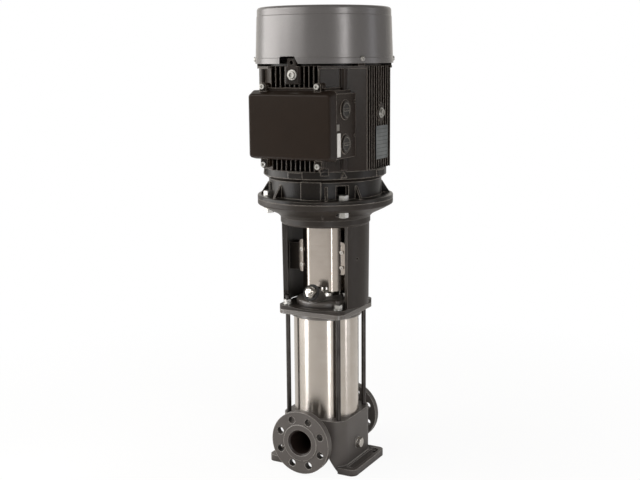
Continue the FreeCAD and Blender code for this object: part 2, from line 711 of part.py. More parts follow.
def motor_stool():
    inner = STOOL_OUT_LOW - STOOL_WALL
    plate = square_plate(PLATE_SPLIT, STOOL_PLATE_TOP)
    plate = plate.cut(cyl(DOME_R + PLAY, PLATE_SPLIT - 1, STOOL_PLATE_TOP + 1))
    lantern = lathe([(inner, STOOL_PLATE_TOP - 1), (STOOL_OUT_LOW, STOOL_PLATE_TOP - 1),
                     (STOOL_OUT_HIGH, WINDOW_TOP), (RING_R, WINDOW_TOP + 4), (RING_R, RING_TOP),
                     (RING_R + 9, RING_TOP + 9), (MOTOR_FLANGE_R - 18, FUNNEL_Z),
                     (MOTOR_FLANGE_R, FUNNEL_Z + 10, 4), (MOTOR_FLANGE_R, STOOL_TOP),
                     (SPIGOT_R + SEAT, STOOL_TOP), (SPIGOT_R + SEAT, STOOL_TOP - SPIGOT_H - 1),
                     (inner, STOOL_TOP - SPIGOT_H - 1)])
    for middle in (-90, 90):
        window = sector(2 * MOTOR_FLANGE_R, WINDOW_HALF_ANGLE, middle, STOOL_PLATE_TOP, WINDOW_TOP)
        lantern = lantern.cut(window.cut(cyl(inner - 1, STOOL_PLATE_TOP - 1, WINDOW_TOP + 1)))
    reach = WING_Y - GUARD_SHEET - SEAT
    lug = box(LUG_IN, inner + 2, -reach, reach, WING_Z0 + 4, WING_Z1 - 4)
    relief = box(LUG_IN - 1, WING_X + 8, -reach + 9, reach - 9, WING_Z0, WING_Z1)
    shape = fused([plate, lantern] + around(lug.cut(relief), (0, 180)))
    slot = box(RING_R + 5, MOTOR_FLANGE_R, -1.2, 1.2, RING_TOP + 2, FUNNEL_Z - 2)
    shape = shape.cut(turned(slot, FUNNEL_SLOT_ANGLE))
    hole_r, hole_z, hole_angle = PILLAR_HOLE
    shape = shape.cut(turned(rod(hole_r, V(inner - 3, 0, hole_z), V(1, 0, 0), 2 * STOOL_WALL), hole_angle))
    seat = cyl(MOTOR_AF * 0.75, NUT_SEAT_Z - 20, NUT_SEAT_Z, MOTOR_PCD / 2)
    hole = cyl(MOTOR_HOLE / 2, NUT_SEAT_Z - 20, STOOL_TOP + 1, MOTOR_PCD / 2)
    for angle in DIAGONALS:
        shape = shape.cut(turned(fused([seat, hole]), angle))
    for z in WING_SCREW_Z:
        for x in (-WING_SCREW_X, WING_SCREW_X):
            shape = shape.cut(rod(WING_SCREW_D / 2 + SEAT, V(x, -WING_Y, z), V(0, 1, 0), 2 * WING_Y))
    return shape.cut(Part.makeCompound(rod_holes(PLATE_SPLIT - 1, STOOL_PLATE_TOP + 1))).removeSplitter()


# Coupling guards

def guard(turn):
    """Bent sheet that covers one side of the coupling, with a flat wing to each side."""
    inside = cyl(GUARD_R - GUARD_SHEET, GUARD_Z0 - 1, GUARD_Z1 + 1)
    back_y = -WING_Y + GUARD_SHEET
    bend = cyl(GUARD_R, GUARD_Z0, GUARD_Z1)
    bend = bend.cut(box(-GUARD_R - 1, GUARD_R + 1, back_y, GUARD_R + 1, GUARD_Z0 - 1, GUARD_Z1 + 1))
    if turn == 0:
        bend = bend.cut(rod(VENT_BOSS_R + 2, VENT_END + VENT_DIR * 20, VENT_DIR * -1, 60))
    clip_x, clip_low, clip_high = WING_X - WING_CLIP, WING_Z0 + WING_CLIP, WING_Z1 - WING_CLIP
    wing = front_prism([(-WING_X, clip_low), (-clip_x, WING_Z0), (clip_x, WING_Z0), (WING_X, clip_low),
                        (WING_X, clip_high), (clip_x, WING_Z1), (-clip_x, WING_Z1), (-WING_X, clip_high)],
                       -WING_Y, back_y)
    shape = fused([bend, wing]).cut(inside)
    for z in WING_SCREW_Z:
        for x in (-WING_SCREW_X, WING_SCREW_X):
            shape = shape.cut(rod(WING_SCREW_D / 2 + PLAY, V(x, -WING_Y - 2, z), V(0, 1, 0), 6))
    return turned(shape, turn)


def guard_screws():
    screws = []
    head = cyl(5, 0, 3.5).cut(hexagon(4, 1.5, 5))
    stem = cyl(WING_SCREW_D / 2, -9, 0.1)
    screw = aimed(fused([head, stem]), V(0, -WING_Y, 0), V(0, -1, 0))
    for turn in (0, 180):
        for z in WING_SCREW_Z:
            for x in (-WING_SCREW_X, WING_SCREW_X):
                screws.append(turned(moved(screw, x=x, z=z), turn))
    return screws


# Coupling

def coupling_half(side):
    """Half of the clamped coupling; side is -1 for the left half, +1 for the right half."""
    small, large, step_z = SHAFT_D / 2 + RUN, MOTOR_SHAFT_D / 2 + RUN, MOTOR_SHAFT_LOW - 4
    whole = lathe([(small, COUPLING_Z0), (COUPLING_R - 3, COUPLING_Z0), (COUPLING_R, COUPLING_Z0 + 3),
                   (COUPLING_R, COUPLING_Z1 - 3), (COUPLING_R - 3, COUPLING_Z1), (large, COUPLING_Z1),
                   (large, step_z), (small, step_z)])
    x0 = COUPLING_GAP / 2 if side > 0 else -COUPLING_R - 1
    x1 = COUPLING_R + 1 if side > 0 else -COUPLING_GAP / 2
    half = whole.common(box(x0, x1, -COUPLING_R - 1, COUPLING_R + 1, COUPLING_Z0, COUPLING_Z1))
    for z in (COUPLING_Z0 + 24, COUPLING_Z1 - 24):
        for y in (-28, 28):
            half = half.cut(rod(COUPLING_SCREW_D / 2 + SEAT, V(-40, y, z), V(1, 0, 0), 80))
            half = half.cut(rod(COUPLING_SCREW_D * 0.85, V(-40, y, z), V(1, 0, 0), 26))
            half = half.cut(rod(COUPLING_SCREW_D * 0.85, V(14, y, z), V(1, 0, 0), 26))
    return half.cut(pin_bore(SEAT))


def pin_bore(play):
    length = 2 * COUPLING_R - 16
    return rod(PIN_D / 2 + play, V(0, -length / 2, PIN_Z), V(0, 1, 0), length)


def coupling_screws():
    screws = []
    for z in (COUPLING_Z0 + 24, COUPLING_Z1 - 24):
        for y in (-28, 28):
            head = rod(COUPLING_SCREW_D * 0.75, V(14, y, z), V(1, 0, 0), 10)
            socket = aimed(hexagon(8, 0, 6), V(19, y, z), V(1, 0, 0))
            stem = rod(COUPLING_SCREW_D / 2, V(-22, y, z), V(1, 0, 0), 37)
            nut = aimed(hexagon(14, 0, 7), V(-14, y, z), V(-1, 0, 0))
            screws.append(fused([head.cut(socket), stem, nut]))
    return screws


# Drive end of the motor

def drive_end_shield():
    top = STOOL_TOP + FLANGE_T_MOTOR
    wall = SHIELD_WALL
    neck_in = SHIELD_NECK_R - wall
    low = STOOL_TOP - SPIGOT_H
    shell = lathe([(SPIGOT_R - 8, low), (SPIGOT_R, low), (SPIGOT_R, STOOL_TOP), (MOTOR_FLANGE_R, STOOL_TOP),
                   (MOTOR_FLANGE_R, top, 3), (SHIELD_NECK_R, top),
                   (SHIELD_NECK_R, SHIELD_NECK_TOP), (SHIELD_R, SHIELD_RING_Z), (SHIELD_R, FRAME_Z0),
                   (STATOR_R + 6, FRAME_Z0), (STATOR_R + 6, FRAME_Z0 + 6), (STATOR_R - 2, FRAME_Z0 + 6),
                   (STATOR_R - 2, FRAME_Z0 - 8), (neck_in, SHIELD_NECK_TOP + 4), (neck_in, top),
                   (SPIGOT_R - 8, top)])
    seat_z = BEARING_LOW_Z
    hub_in, hub_out, hub_top = BEARING_ID / 2 + 8, BEARING_OD / 2 + 12, seat_z + BEARING_W + 4
    hub = lathe([(hub_in, seat_z - 10), (hub_out, seat_z - 10), (hub_out, hub_top),
                 (BEARING_OD / 2 + SEAT, hub_top), (BEARING_OD / 2 + SEAT, seat_z), (hub_in, seat_z)])
    web = tube(neck_in + 1, BEARING_OD / 2 + 4, seat_z - 6, seat_z + 4)
    rib_in, rib_out, rib_top = SHIELD_NECK_R - 2, MOTOR_FLANGE_R - 8, top + 32
    rib = front_prism([(rib_in, top - 2), (rib_out, top - 2), (rib_out, top + 1), (rib_in + 4, rib_top),
                       (rib_in, rib_top)], -3, 3)
    ribs = around(rib, SHIELD_RIBS)
    pad = rounded_box(-20, 20, -SHIELD_R - 2, -SHIELD_R + 12, 4, SHIELD_RING_Z, FRAME_Z0 - 3)
    pads = around(pad, (0, 90, 180, 270))
    middle, half, boss_top = SHIELD_BOSS
    boss = sector(SHIELD_NECK_R + 9, half, middle, top - 1, boss_top)
    boss = boss.cut(cyl(SHIELD_NECK_R - 4, top - 2, boss_top + 1))
    gusset_z = FRAME_Z0 - 15
    gusset = side_prism([(-8, gusset_z), (8, gusset_z), (0, FRAME_Z0 - 1)], SHIELD_R - 3, SHIELD_R + 4)
    shape = fused([shell, hub, web, boss] + ribs + pads + around(gusset, DIAGONALS))
    hole = cyl(MOTOR_HOLE / 2, STOOL_TOP - 1, top + 1, MOTOR_PCD / 2)
    relief = cyl(MOTOR_AF * 0.72, top, SHIELD_NECK_TOP - 8, MOTOR_PCD / 2)
    for angle in DIAGONALS:
        shape = shape.cut(turned(fused([hole, relief]), angle))
    return shape.cut(drain_recess())


def drain_recess():
    """Room of the small drain recess that lies half in the shield and half in the frame above it."""
    return turned(box(SHIELD_R - 6, SHIELD_R + 20, -9.5, 9.5, FRAME_Z0 - 9, RECESS_TOP), RECESS_ANGLE)


def flange_bolts():
    top = STOOL_TOP + FLANGE_T_MOTOR
    bolts = []
    for angle in DIAGONALS:
        at = polar(MOTOR_PCD / 2, angle)
        head = hexagon(MOTOR_AF, top + 2.5, top + 2.5 + MOTOR_HEAD_T)
        washer = cyl(15, top, top + 2.5)
        stem = cyl(MOTOR_BOLT / 2, NUT_SEAT_Z - MOTOR_NUT_T - 1, top + 3)
        bolts.append(moved(turned(fused([head, washer, stem]), angle), at.x, at.y))
    return bolts


def flange_nuts():
    nuts = []
    nut = turned(hexagon(MOTOR_AF, -NUT_SEAT_Z, MOTOR_NUT_T - NUT_SEAT_Z), 180, V(1, 0, 0))
    nut = nut.cut(cyl(MOTOR_BOLT / 2 + SEAT, NUT_SEAT_Z - MOTOR_NUT_T - 1, NUT_SEAT_Z + 1))
    for angle in DIAGONALS:
        at = polar(MOTOR_PCD / 2, angle)
        nuts.append(moved(turned(nut, angle), at.x, at.y))
    return nuts


# Finned frame and what it holds

def corner_block():
    """Flat-faced corner of the frame between two finned sides, with its bolt column."""
    a, b = FIN_HALF, FIN_PLANE - 1
    root = CORE_R * 0.83
    plan = [(a - 3, -b), (a, -b, 3), (b, -a, 3), (b, -a + 3), (root, -a + 3), (a - 3, -root)]
    block = prism(plan, FRAME_Z0, FRAME_Z1)
    near_out, far_out = DUCT_OUT
    near_in, far_in = DUCT_IN
    duct = prism([(near_out, -far_out, 6), (far_out, -near_out, 6), (far_in, -near_in, 5),
                  (near_in, -far_in, 5)], FRAME_Z0 - 1, FRAME_Z1 - 20)
    column = cyl(COLUMN_R, FRAME_Z0 + 4, FRAME_Z1 - 6, COLUMN_AT, -COLUMN_AT)
    ledge = prism([(a - 6, -b - 3, 3), (a + 4, -b - 3, 3), (b + 3, -a - 4, 3), (b + 3, -a + 6, 3),
                   (root, -a + 6), (a - 6, -root)], FRAME_Z1 - 6, FRAME_Z1)
    return fused([block.cut(duct), column, ledge])


def fins():
    """Upright cooling fins of one side; each is a little thinner at its tip."""
    shapes = []
    count = int(FIN_HALF / FIN_PITCH)
    for i in range(-count, count + 1):
        x = i * FIN_PITCH
        root = math.sqrt(CORE_R ** 2 - x ** 2) - 3
        plan = [(x - FIN_T / 2, -root), (x - FIN_T / 3, -FIN_PLANE), (x + FIN_T / 3, -FIN_PLANE),
                (x + FIN_T / 2, -root)]
        shapes.append(prism(plan, FRAME_Z0, FRAME_Z1))
    return shapes


def motor_frame():
    core = tube(CORE_R, STATOR_R + SEAT, FRAME_Z0, FRAME_Z1)
    pieces = [core]
    for angle in (0, 90, 180, 270):
        pieces += [turned(shape, angle) for shape in fins() + [corner_block()]]
    top_ring = tube(CORE_R + 6, STATOR_R + SEAT, FRAME_Z1 - 6, FRAME_Z1)
    lift_pad = rounded_box(LIFT_FRONT_X - 22, LIFT_FRONT_X + 22, -FIN_PLANE - 6, -CORE_R + 3, 6,
                           LIFT_FRONT_Z - 22, FRAME_Z1)
    side_pad = side_prism([(LIFT_SIDE_Y, LIFT_SIDE_Z - 30, 6), (LIFT_SIDE_Y + 24, LIFT_SIDE_Z, 6),
                           (LIFT_SIDE_Y, LIFT_SIDE_Z + 30, 6), (LIFT_SIDE_Y - 24, LIFT_SIDE_Z, 6)],
                          CORE_R - 3, FIN_PLANE + 1)
    plate_pad = box(CORE_R - 3, FIN_PLANE, PLATE_Y[0] + 4, PLATE_Y[1] - 4,
                    NAMEPLATE_Z[0] + 4, NAMEPLATE_Z[1] - 4)
    lug = rounded_box(LIFT_FRONT_X - 15, LIFT_FRONT_X + 12, -FIN_PLANE - 6, -CORE_R - 14, 3,
                      FRAME_Z1 - 1, LIFT_LUG_TOP)
    lug = lug.cut(rod(5, V(LIFT_FRONT_X - 2, -FIN_PLANE - 8, LIFT_LUG_TOP - 9), V(0, 1, 0), 30))
    shape = fused(pieces + [top_ring, lift_pad, lug, side_pad, plate_pad]).cut(drain_recess())
    for z0, z1 in ((FRAME_Z0 - 1, FRAME_Z0 + 7), (FRAME_Z1 - 7, FRAME_Z1 + 1)):
        shape = shape.cut(cyl(STATOR_R + 6 + SEAT, z0, z1))
    front_hole = rod(8, V(LIFT_FRONT_X, -FIN_PLANE - 8, LIFT_FRONT_Z), V(0, 1, 0), 22)
    side_hole = rod(8, V(FIN_PLANE + 3, LIFT_SIDE_Y, LIFT_SIDE_Z), V(-1, 0, 0), 18)
    return shape.cut(front_hole).cut(side_hole).removeSplitter()


def lifting_boss_screws():
    """Plugs in the two tapped lifting holes: a washer and a socket screw each."""
    socket = hexagon(10, 3, 8)
    head = lathe([(0, 0), (13, 0), (13, 2.5, 0.8), (9, 2.5), (9, 6.5, 1), (0, 6.5)])
    stem = cyl(8 - SEAT, -14, 0.1)
    screw = fused([head.cut(socket), stem])
    return [aimed(screw, V(LIFT_FRONT_X, -FIN_PLANE - 6, LIFT_FRONT_Z), V(0, -1, 0)),
            aimed(screw, V(FIN_PLANE + 1, LIFT_SIDE_Y, LIFT_SIDE_Z), V(1, 0, 0))]


def stator_core():
    return tube(STATOR_R, STATOR_BORE, ROTOR_Z0, ROTOR_Z1)


def stator_windings():
    outer, inner = STATOR_R - 14, STATOR_BORE + 4
    coils = []
    for z0, z1 in ((ROTOR_Z0 - 28, ROTOR_Z0), (ROTOR_Z1, ROTOR_Z1 + 28)):
        coils.append(lathe([(inner, z0, 7), (outer, z0, 7), (outer, z1, 4), (inner, z1, 4)]))
    return coils


def motor_shaft():
    half = MOTOR_SHAFT_D / 2
    seat = BEARING_ID / 2 - RUN
    tail = 19.0
    top = FAN_Z + FAN_H + 4
    return lathe([(0, MOTOR_SHAFT_LOW), (half - 1.5, MOTOR_SHAFT_LOW), (half, MOTOR_SHAFT_LOW + 1.5),
                  (half, BEARING_LOW_Z - 22), (seat, BEARING_LOW_Z - 22), (seat, BEARING_LOW_Z + BEARING_W),
                  (seat + 5, BEARING_LOW_Z + BEARING_W), (seat + 5, BEARING_HIGH_Z), (seat, BEARING_HIGH_Z),
                  (seat, BEARING_HIGH_Z + BEARING_W), (tail, BEARING_HIGH_Z + BEARING_W), (tail, top - 1),
                  (tail - 1, top), (0, top)])


def rotor_core():
    bore = BEARING_ID / 2 + 5
    ring_out, ring_in = STATOR_BORE - 6, bore + 16
    body = tube(STATOR_BORE - AIR_GAP, bore, ROTOR_Z0, ROTOR_Z1)
    rings = [tube(ring_out, ring_in, ROTOR_Z0 - 12, ROTOR_Z0),
             tube(ring_out, ring_in, ROTOR_Z1, ROTOR_Z1 + 12)]
    return fused([body] + rings)


# Ball bearings

PITCH_R = (BEARING_OD + BEARING_ID) / 4
GROOVE_R = BALL_D / 2 + PLAY


def groove(z):
    return Part.makeTorus(PITCH_R, GROOVE_R, V(0, 0, z + BEARING_W / 2), UP)


def bearing_outer(z):
    return tube(BEARING_OD / 2, PITCH_R + BALL_D * 0.28, z, z + BEARING_W).cut(groove(z))


def bearing_inner(z):
    return tube(PITCH_R - BALL_D * 0.28, BEARING_ID / 2, z, z + BEARING_W).cut(groove(z))


def bearing_balls(z):
    """Balls held by a thin cage ring at their middle height."""
    middle = z + BEARING_W / 2
    ball = Part.makeSphere(BALL_D / 2, V(PITCH_R, 0, middle))
    cage = tube(PITCH_R + 1.5, PITCH_R - 1.5, middle - 3, middle + 3)
    return fused([cage] + around(ball, [360 / BALLS * i for i in range(BALLS)]))


# Top of the motor

def non_drive_shield():
    z = FRAME_Z1
    wall = SHIELD_WALL
    seat_z = BEARING_HIGH_Z
    plan_r = CORE_R + 10
    hub_r = BEARING_OD / 2 + 10
    seat_r = BEARING_OD / 2 + SEAT
    seat_top = seat_z + BEARING_W
    hole_r = BEARING_ID / 2 + 8
    disc = lathe([(hole_r, seat_top), (hole_r, seat_top + 5), (hub_r, seat_top + 5, 2),
                  (hub_r + 6, z + wall), (plan_r, z + wall, 2), (plan_r, z), (STATOR_R + 6, z),
                  (STATOR_R + 6, z - 6), (STATOR_R - 4, z - 6), (STATOR_R - 4, z), (hub_r, z),
                  (hub_r, seat_z - 4), (seat_r, seat_z - 4), (seat_r, seat_top)])
    arm_end = COVER_R_LOW - COVER_SHEET - COVER_STEP - PLAY - 1.5
    arm = box(plan_r - 4, arm_end, -9, 9, z, z + wall + 6)
    upright = box(arm_end - 5, arm_end, -9, 9, z, z + 26)
    arms = around(fused([arm, upright]), COVER_SCREW_ANGLES)
    shape = fused([disc] + arms)
    hole = rod(3, V(arm_end - 12, 0, COVER_SCREW_Z), V(1, 0, 0), 20)
    for angle in COVER_SCREW_ANGLES:
        shape = shape.cut(turned(hole, angle))
    return shape


def shield_screws():
    screws = []
    head = cyl(7, 0, 6).cut(hexagon(7, 3, 8))
    for angle in (0, 90, 180, 270):
        at = polar(CORE_R, angle)
        screws.append(moved(head, at.x, at.y, FRAME_Z1 + SHIELD_WALL))
    return screws


def cooling_fan():
    hub = tube(28, 19 + RUN, FAN_Z - 6, FAN_Z + FAN_H)
    plate = tube(FAN_R - 6, 27, FAN_Z, FAN_Z + 3)
    wing = box(26, FAN_R, -1.5, 1.5, FAN_Z, FAN_Z + FAN_H)
    wing = wing.cut(side_prism([(-2, FAN_Z + FAN_H + 1), (2, FAN_Z + FAN_H + 1), (2, FAN_Z + FAN_H - 0.5),
                                (-2, FAN_Z + FAN_H - 0.5)], 20, 60))
    return fused([hub, plate] + around(wing, [360 / FAN_BLADES * i for i in range(FAN_BLADES)]))


def cover_radius(z):
    """Outside of the wall between its two rolled steps."""
    share = (z - COVER_Z0) / (COVER_Z1 - COVER_Z0)
    return COVER_R_LOW + (COVER_R_HIGH - COVER_R_LOW) * share - COVER_STEP / 2


def arc_slot(radius, width, span, z0, z1):
    """Curved slot of a grille, centred on +X."""
    ring = tube(radius + width / 2, radius - width / 2, z0, z1)
    return ring.common(sector(radius + width, span / 2, 0, z0, z1))


def fan_cover():
    """Drawn sheet cover with a slightly conical wall and a ring grille in its top."""
    low, high = COVER_STEP_Z
    wall = [(COVER_R_LOW, COVER_Z0), (COVER_R_LOW, low), (cover_radius(low), low + 1.5),
            (cover_radius(high), high), (cover_radius(high) - COVER_STEP, high + 1.5)]
    sheet = COVER_SHEET
    inside = [(radius - sheet, z) for radius, z in wall]
    top_r = COVER_R_HIGH - COVER_STEP
    ceiling = [(0, COVER_Z1), (0, COVER_Z1 - sheet), (top_r - sheet, COVER_Z1 - sheet, COVER_ROUND - sheet)]
    shape = lathe(ceiling + inside[::-1] + wall + [(top_r, COVER_Z1, COVER_ROUND)])
    span = 360 / GRILLE_SPOKES
    for radius in GRILLE_RINGS:
        open_span = span - math.degrees(7.0 / radius)
        slot = arc_slot(radius, GRILLE_SLOT, open_span, COVER_Z1 - COVER_SHEET - 1, COVER_Z1 + 1)
        slots = around(slot, [span * i + span / 2 for i in range(GRILLE_SPOKES)])
        shape = shape.cut(Part.makeCompound(slots))
    left, right_high, right_low = NOTCH_X
    notch = front_prism([(left, COVER_Z0 - 1), (right_low, COVER_Z0 - 1), (right_high, NOTCH_TOP, 3),
                         (left, NOTCH_TOP, 3)], -COVER_R_LOW - 5, -COVER_R_LOW / 2)
    shape = shape.cut(notch)
    hole = rod(3.2, V(0, 0, COVER_SCREW_Z), V(1, 0, 0), COVER_R_LOW + 5)
    for angle in COVER_SCREW_ANGLES:
        shape = shape.cut(turned(hole, angle))
    return shape


def cover_screws():
    screws = []
    z = COVER_SCREW_Z
    radius = COVER_R_LOW + SEAT
    head = lathe([(0, 0), (6.5, 0), (6.5, 1), (4.5, 3.5, 1), (0, 3.5)]).cut(hexagon(4, 1.5, 5))
    stem = cyl(2.8, -14, 0.1)
    screw = fused([head, stem])
    for angle in COVER_SCREW_ANGLES:
        screws.append(aimed(screw, polar(radius, angle, z), polar(1, angle)))
    return screws


# Terminal box

def frame_envelope(gap):
    """Space that the frame takes, with a gap all round, for what is fitted against it."""
    a, b = FIN_HALF + 1 + gap * 0.4, FIN_PLANE + gap
    plan = [(a, -b), (b, -a), (b, a), (a, b), (-a, b), (-b, a), (-b, -a), (-a, -b)]
    body = prism(plan, FRAME_Z0 - 50, FRAME_Z1)
    column = cyl(COLUMN_R + gap, FRAME_Z0 - 50, FRAME_Z1, COLUMN_AT, -COLUMN_AT)
    return fused([body] + around(column, (0, 90, 180, 270)))


def lid_ears(y0, y1):
    """Four rounded ears above and below the box that take the lid screws."""
    ears = []
    high, low = LUG_SCREW_Z
    for x in LUG_SCREW_X:
        ears.append(front_prism([(x - 9, BOX_Z1 - 9), (x + 9, BOX_Z1 - 9), (x + 9, high + 9, 8),
                                 (x - 9, high + 9, 8)], y0, y1))
        ears.append(front_prism([(x - 9, low - 9, 8), (x + 9, low - 9, 8), (x + 9, BOX_Z0 + 9),
                                 (x - 9, BOX_Z0 + 9)], y0, y1))
    return ears


def box_inside():
    """Room inside the box, with a pocket beside the frame that the cable entries open into."""
    x0, x1 = BOX_X0 + BOX_WALL, BOX_X1 - BOX_WALL
    z0, z1 = BOX_Z0 + BOX_WALL, BOX_Z1 - BOX_WALL
    back = -FIN_PLANE - BOX_WALL - 1
    entry_x, entry_y = FIN_HALF + 7, -BOX_BACK * 1.5
    pocket = prism([(entry_x - 16, back - 1), (x1, back - 1), (x1, entry_y), (entry_x, back + 2)], z0, z1)
    return box(x0, x1, -LID_BACK - 1, back, z0, z1).fuse(pocket)


def terminal_box():
    shell = rounded_box(BOX_X0, BOX_X1, -LID_BACK, -BOX_BACK, 8, BOX_Z0, BOX_Z1)
    steps = []
    below = BOX_Z1
    for inset, back, top in BOX_STEPS:
        steps.append(rounded_box(BOX_X0 + inset, BOX_X1 - inset, -LID_BACK, -back, 5, below - 1, top))
        below = top
    shell = fused([shell] + steps)
    shell = shell.cut(box(BOX_X0 - 1, FIN_HALF - 9, -BOX_BACK - 30, 0, BOX_Z0 - 1, BOX_Z1 + 1))
    shell = shell.cut(frame_envelope(PLAY))
    shape = fused([shell] + lid_ears(-LID_BACK, -LID_BACK + 16)).cut(box_inside())
    for z in GLAND_PLUG_Z:
        ring = rod(GLAND_PLUG_D / 2 + 4, V(BOX_X1 - 1, -GLAND_PLUG_Y, z), V(1, 0, 0), 2.5)
        hole = rod(GLAND_PLUG_D / 2 - 4, V(BOX_X1 - 20, -GLAND_PLUG_Y, z), V(1, 0, 0), 30)
        shape = shape.fuse(ring).cut(hole)
    for x in LUG_SCREW_X:
        for z in LUG_SCREW_Z:
            shape = shape.cut(rod(3 + SEAT, V(x, -LID_BACK - 1, z), V(0, 1, 0), 13))
    return shape.removeSplitter()


def lid_outline(sides, y, inset, corner):
    """Rounded outline of the lid in the XZ plane, for a loft."""
    x0, x1, z0, z1 = sides
    x0, x1, z0, z1 = x0 + inset, x1 - inset, z0 + inset, z1 - inset
    plan = face_of([(x0, z0, corner), (x1, z0, corner), (x1, z1, corner), (x0, z1, corner)])
    return moved(turned(plan.OuterWire, 90, V(1, 0, 0)), y=y)


def terminal_lid():
    """Drafted lid: wide at the joint, smaller at its front, with a rounded edge round the front."""
    shell = Part.makeLoft([lid_outline(LID_RIM, -LID_BACK, 0, LID_CORNER),
                           lid_outline(LID_FACE, -LID_FRONT, 0, LID_CORNER)], True, True)
    front = [edge for edge in shell.Edges if edge.BoundBox.YMax < -LID_FRONT + 0.01]
    shell = shell.makeFillet(LID_EDGE, front)
    corner = LID_CORNER - BOX_WALL
    inner = Part.makeLoft([lid_outline(LID_RIM, -LID_BACK + 1, BOX_WALL, corner),
                           lid_outline(LID_FACE, -LID_FRONT + BOX_WALL, BOX_WALL, corner)], True, True)
    shape = fused([shell] + lid_ears(-LID_BACK - 9, -LID_BACK)).cut(inner)
    for x in LUG_SCREW_X:
        for z in LUG_SCREW_Z:
            shape = shape.cut(rod(3 + PLAY, V(x, -LID_BACK - 12, z), V(0, 1, 0), 14))
    return shape


def lid_screws():
    head = cyl(6.5, 0, 6).cut(hexagon(6, 2.5, 8))
    screw = fused([head, cyl(3, -18, 0.1)])
    return [aimed(screw, V(x, -LID_BACK - 9, z), V(0, -1, 0)) for x in LUG_SCREW_X for z in LUG_SCREW_Z]


def terminal_board():
    """Moulded block on the back wall of the box with six threaded posts and their nuts."""
    back = FIN_PLANE + 6
    middle_z = (BOX_Z0 + BOX_Z1) / 2
    block = box(-38, 58, -back - 12, -back, middle_z - 28, middle_z + 28)
    pieces = [block]
    for i in range(3):
        for z in (middle_z - 15, middle_z + 15):
            x = -22 + 32 * i
            post = aimed(fused([cyl(3, -2, 14), hexagon(10, 0, 5)]), V(x, -back - 12, z), V(0, -1, 0))
            pieces.append(post)
    return fused(pieces)


def blanking_plugs():
    x1 = BOX_X1 + 1.5
    plug = lathe([(0, 0), (GLAND_PLUG_D / 2, 0), (GLAND_PLUG_D / 2, 4, 1), (GLAND_PLUG_D / 2 - 4, 4),
                  (GLAND_PLUG_D / 2 - 4, 2.5), (0, 2.5)])
    plug = fused([plug, cyl(GLAND_PLUG_D / 2 - 4 - SEAT, -9, 0.1), box(-3, 3, -14, 14, 2, 4)])
    return [aimed(plug, V(x1, -GLAND_PLUG_Y, z), V(1, 0, 0)) for z in GLAND_PLUG_Z]


def nameplate():
    y0, y1 = PLATE_Y
    z0, z1 = NAMEPLATE_Z
    sheet = side_prism([(y0, z0, 3), (y1, z0, 3), (y1, z1, 3), (y0, z1, 3)],
                       FIN_PLANE, FIN_PLANE + NAMEPLATE_T)
    pins = [rod(2, V(FIN_PLANE, y, z), V(1, 0, 0), NAMEPLATE_T + 0.8)
            for y in (y0 + 5, y1 - 5) for z in (z0 + 5, z1 - 5)]
    return fused([sheet] + pins)


save("pump_base", pump_base())
save("drain_plug", drain_plug())
save("outer_sleeve", outer_sleeve())
group("sleeve_gaskets", sleeve_gaskets())
group("tie_rods", tie_rods())
group("tie_rod_nuts", tie_rod_nuts())
save("inlet_part", inlet_part())
for stage in range(STAGES):
    save("chamber_" + str(stage + 1), chamber(stage))
    save("impeller_" + str(stage + 1), impeller(stage))
save("top_chamber", top_chamber())
save("pump_shaft", pump_shaft())
save("shaft_nut", shaft_nut())
save("pump_head", pump_head())
save("vent_plug", vent_plug())
save("vent_screw", vent_screw())
save("seal_cartridge", seal_cartridge())
save("seal_driver", seal_driver())
save("motor_stool", motor_stool())
save("guard_front", guard(0))
save("guard_rear", guard(180))
group("guard_screws", guard_screws())
save("coupling_left", coupling_half(-1))
save("coupling_right", coupling_half(1))
save("coupling_pin", pin_bore(0))
group("coupling_screws", coupling_screws())
save("drive_end_shield", drive_end_shield())
group("flange_bolts", flange_bolts())
group("flange_nuts", flange_nuts())
save("motor_frame", motor_frame())
group("lifting_boss_screws", lifting_boss_screws())
save("stator_core", stator_core())
group("stator_windings", stator_windings())
save("motor_shaft", motor_shaft())
save("rotor_core", rotor_core())
save("bearing_low_outer", bearing_outer(BEARING_LOW_Z))
save("bearing_low_inner", bearing_inner(BEARING_LOW_Z))
save("bearing_low_balls", bearing_balls(BEARING_LOW_Z))
save("bearing_high_outer", bearing_outer(BEARING_HIGH_Z))
save("bearing_high_inner", bearing_inner(BEARING_HIGH_Z))
save("bearing_high_balls", bearing_balls(BEARING_HIGH_Z))
save("non_drive_shield", non_drive_shield())
group("shield_screws", shield_screws())
save("cooling_fan", cooling_fan())
save("fan_cover", fan_cover())
group("cover_screws", cover_screws())
save("terminal_box", terminal_box())
save("terminal_lid", terminal_lid())
group("lid_screws", lid_screws())
save("terminal_board", terminal_board())
group("blanking_plugs", blanking_plugs())
save("nameplate", nameplate())
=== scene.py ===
"""Finish, light and camera of a vertical multistage pump with its flange motor."""

import math

import bmesh
import bpy
from mathutils import Matrix, Vector


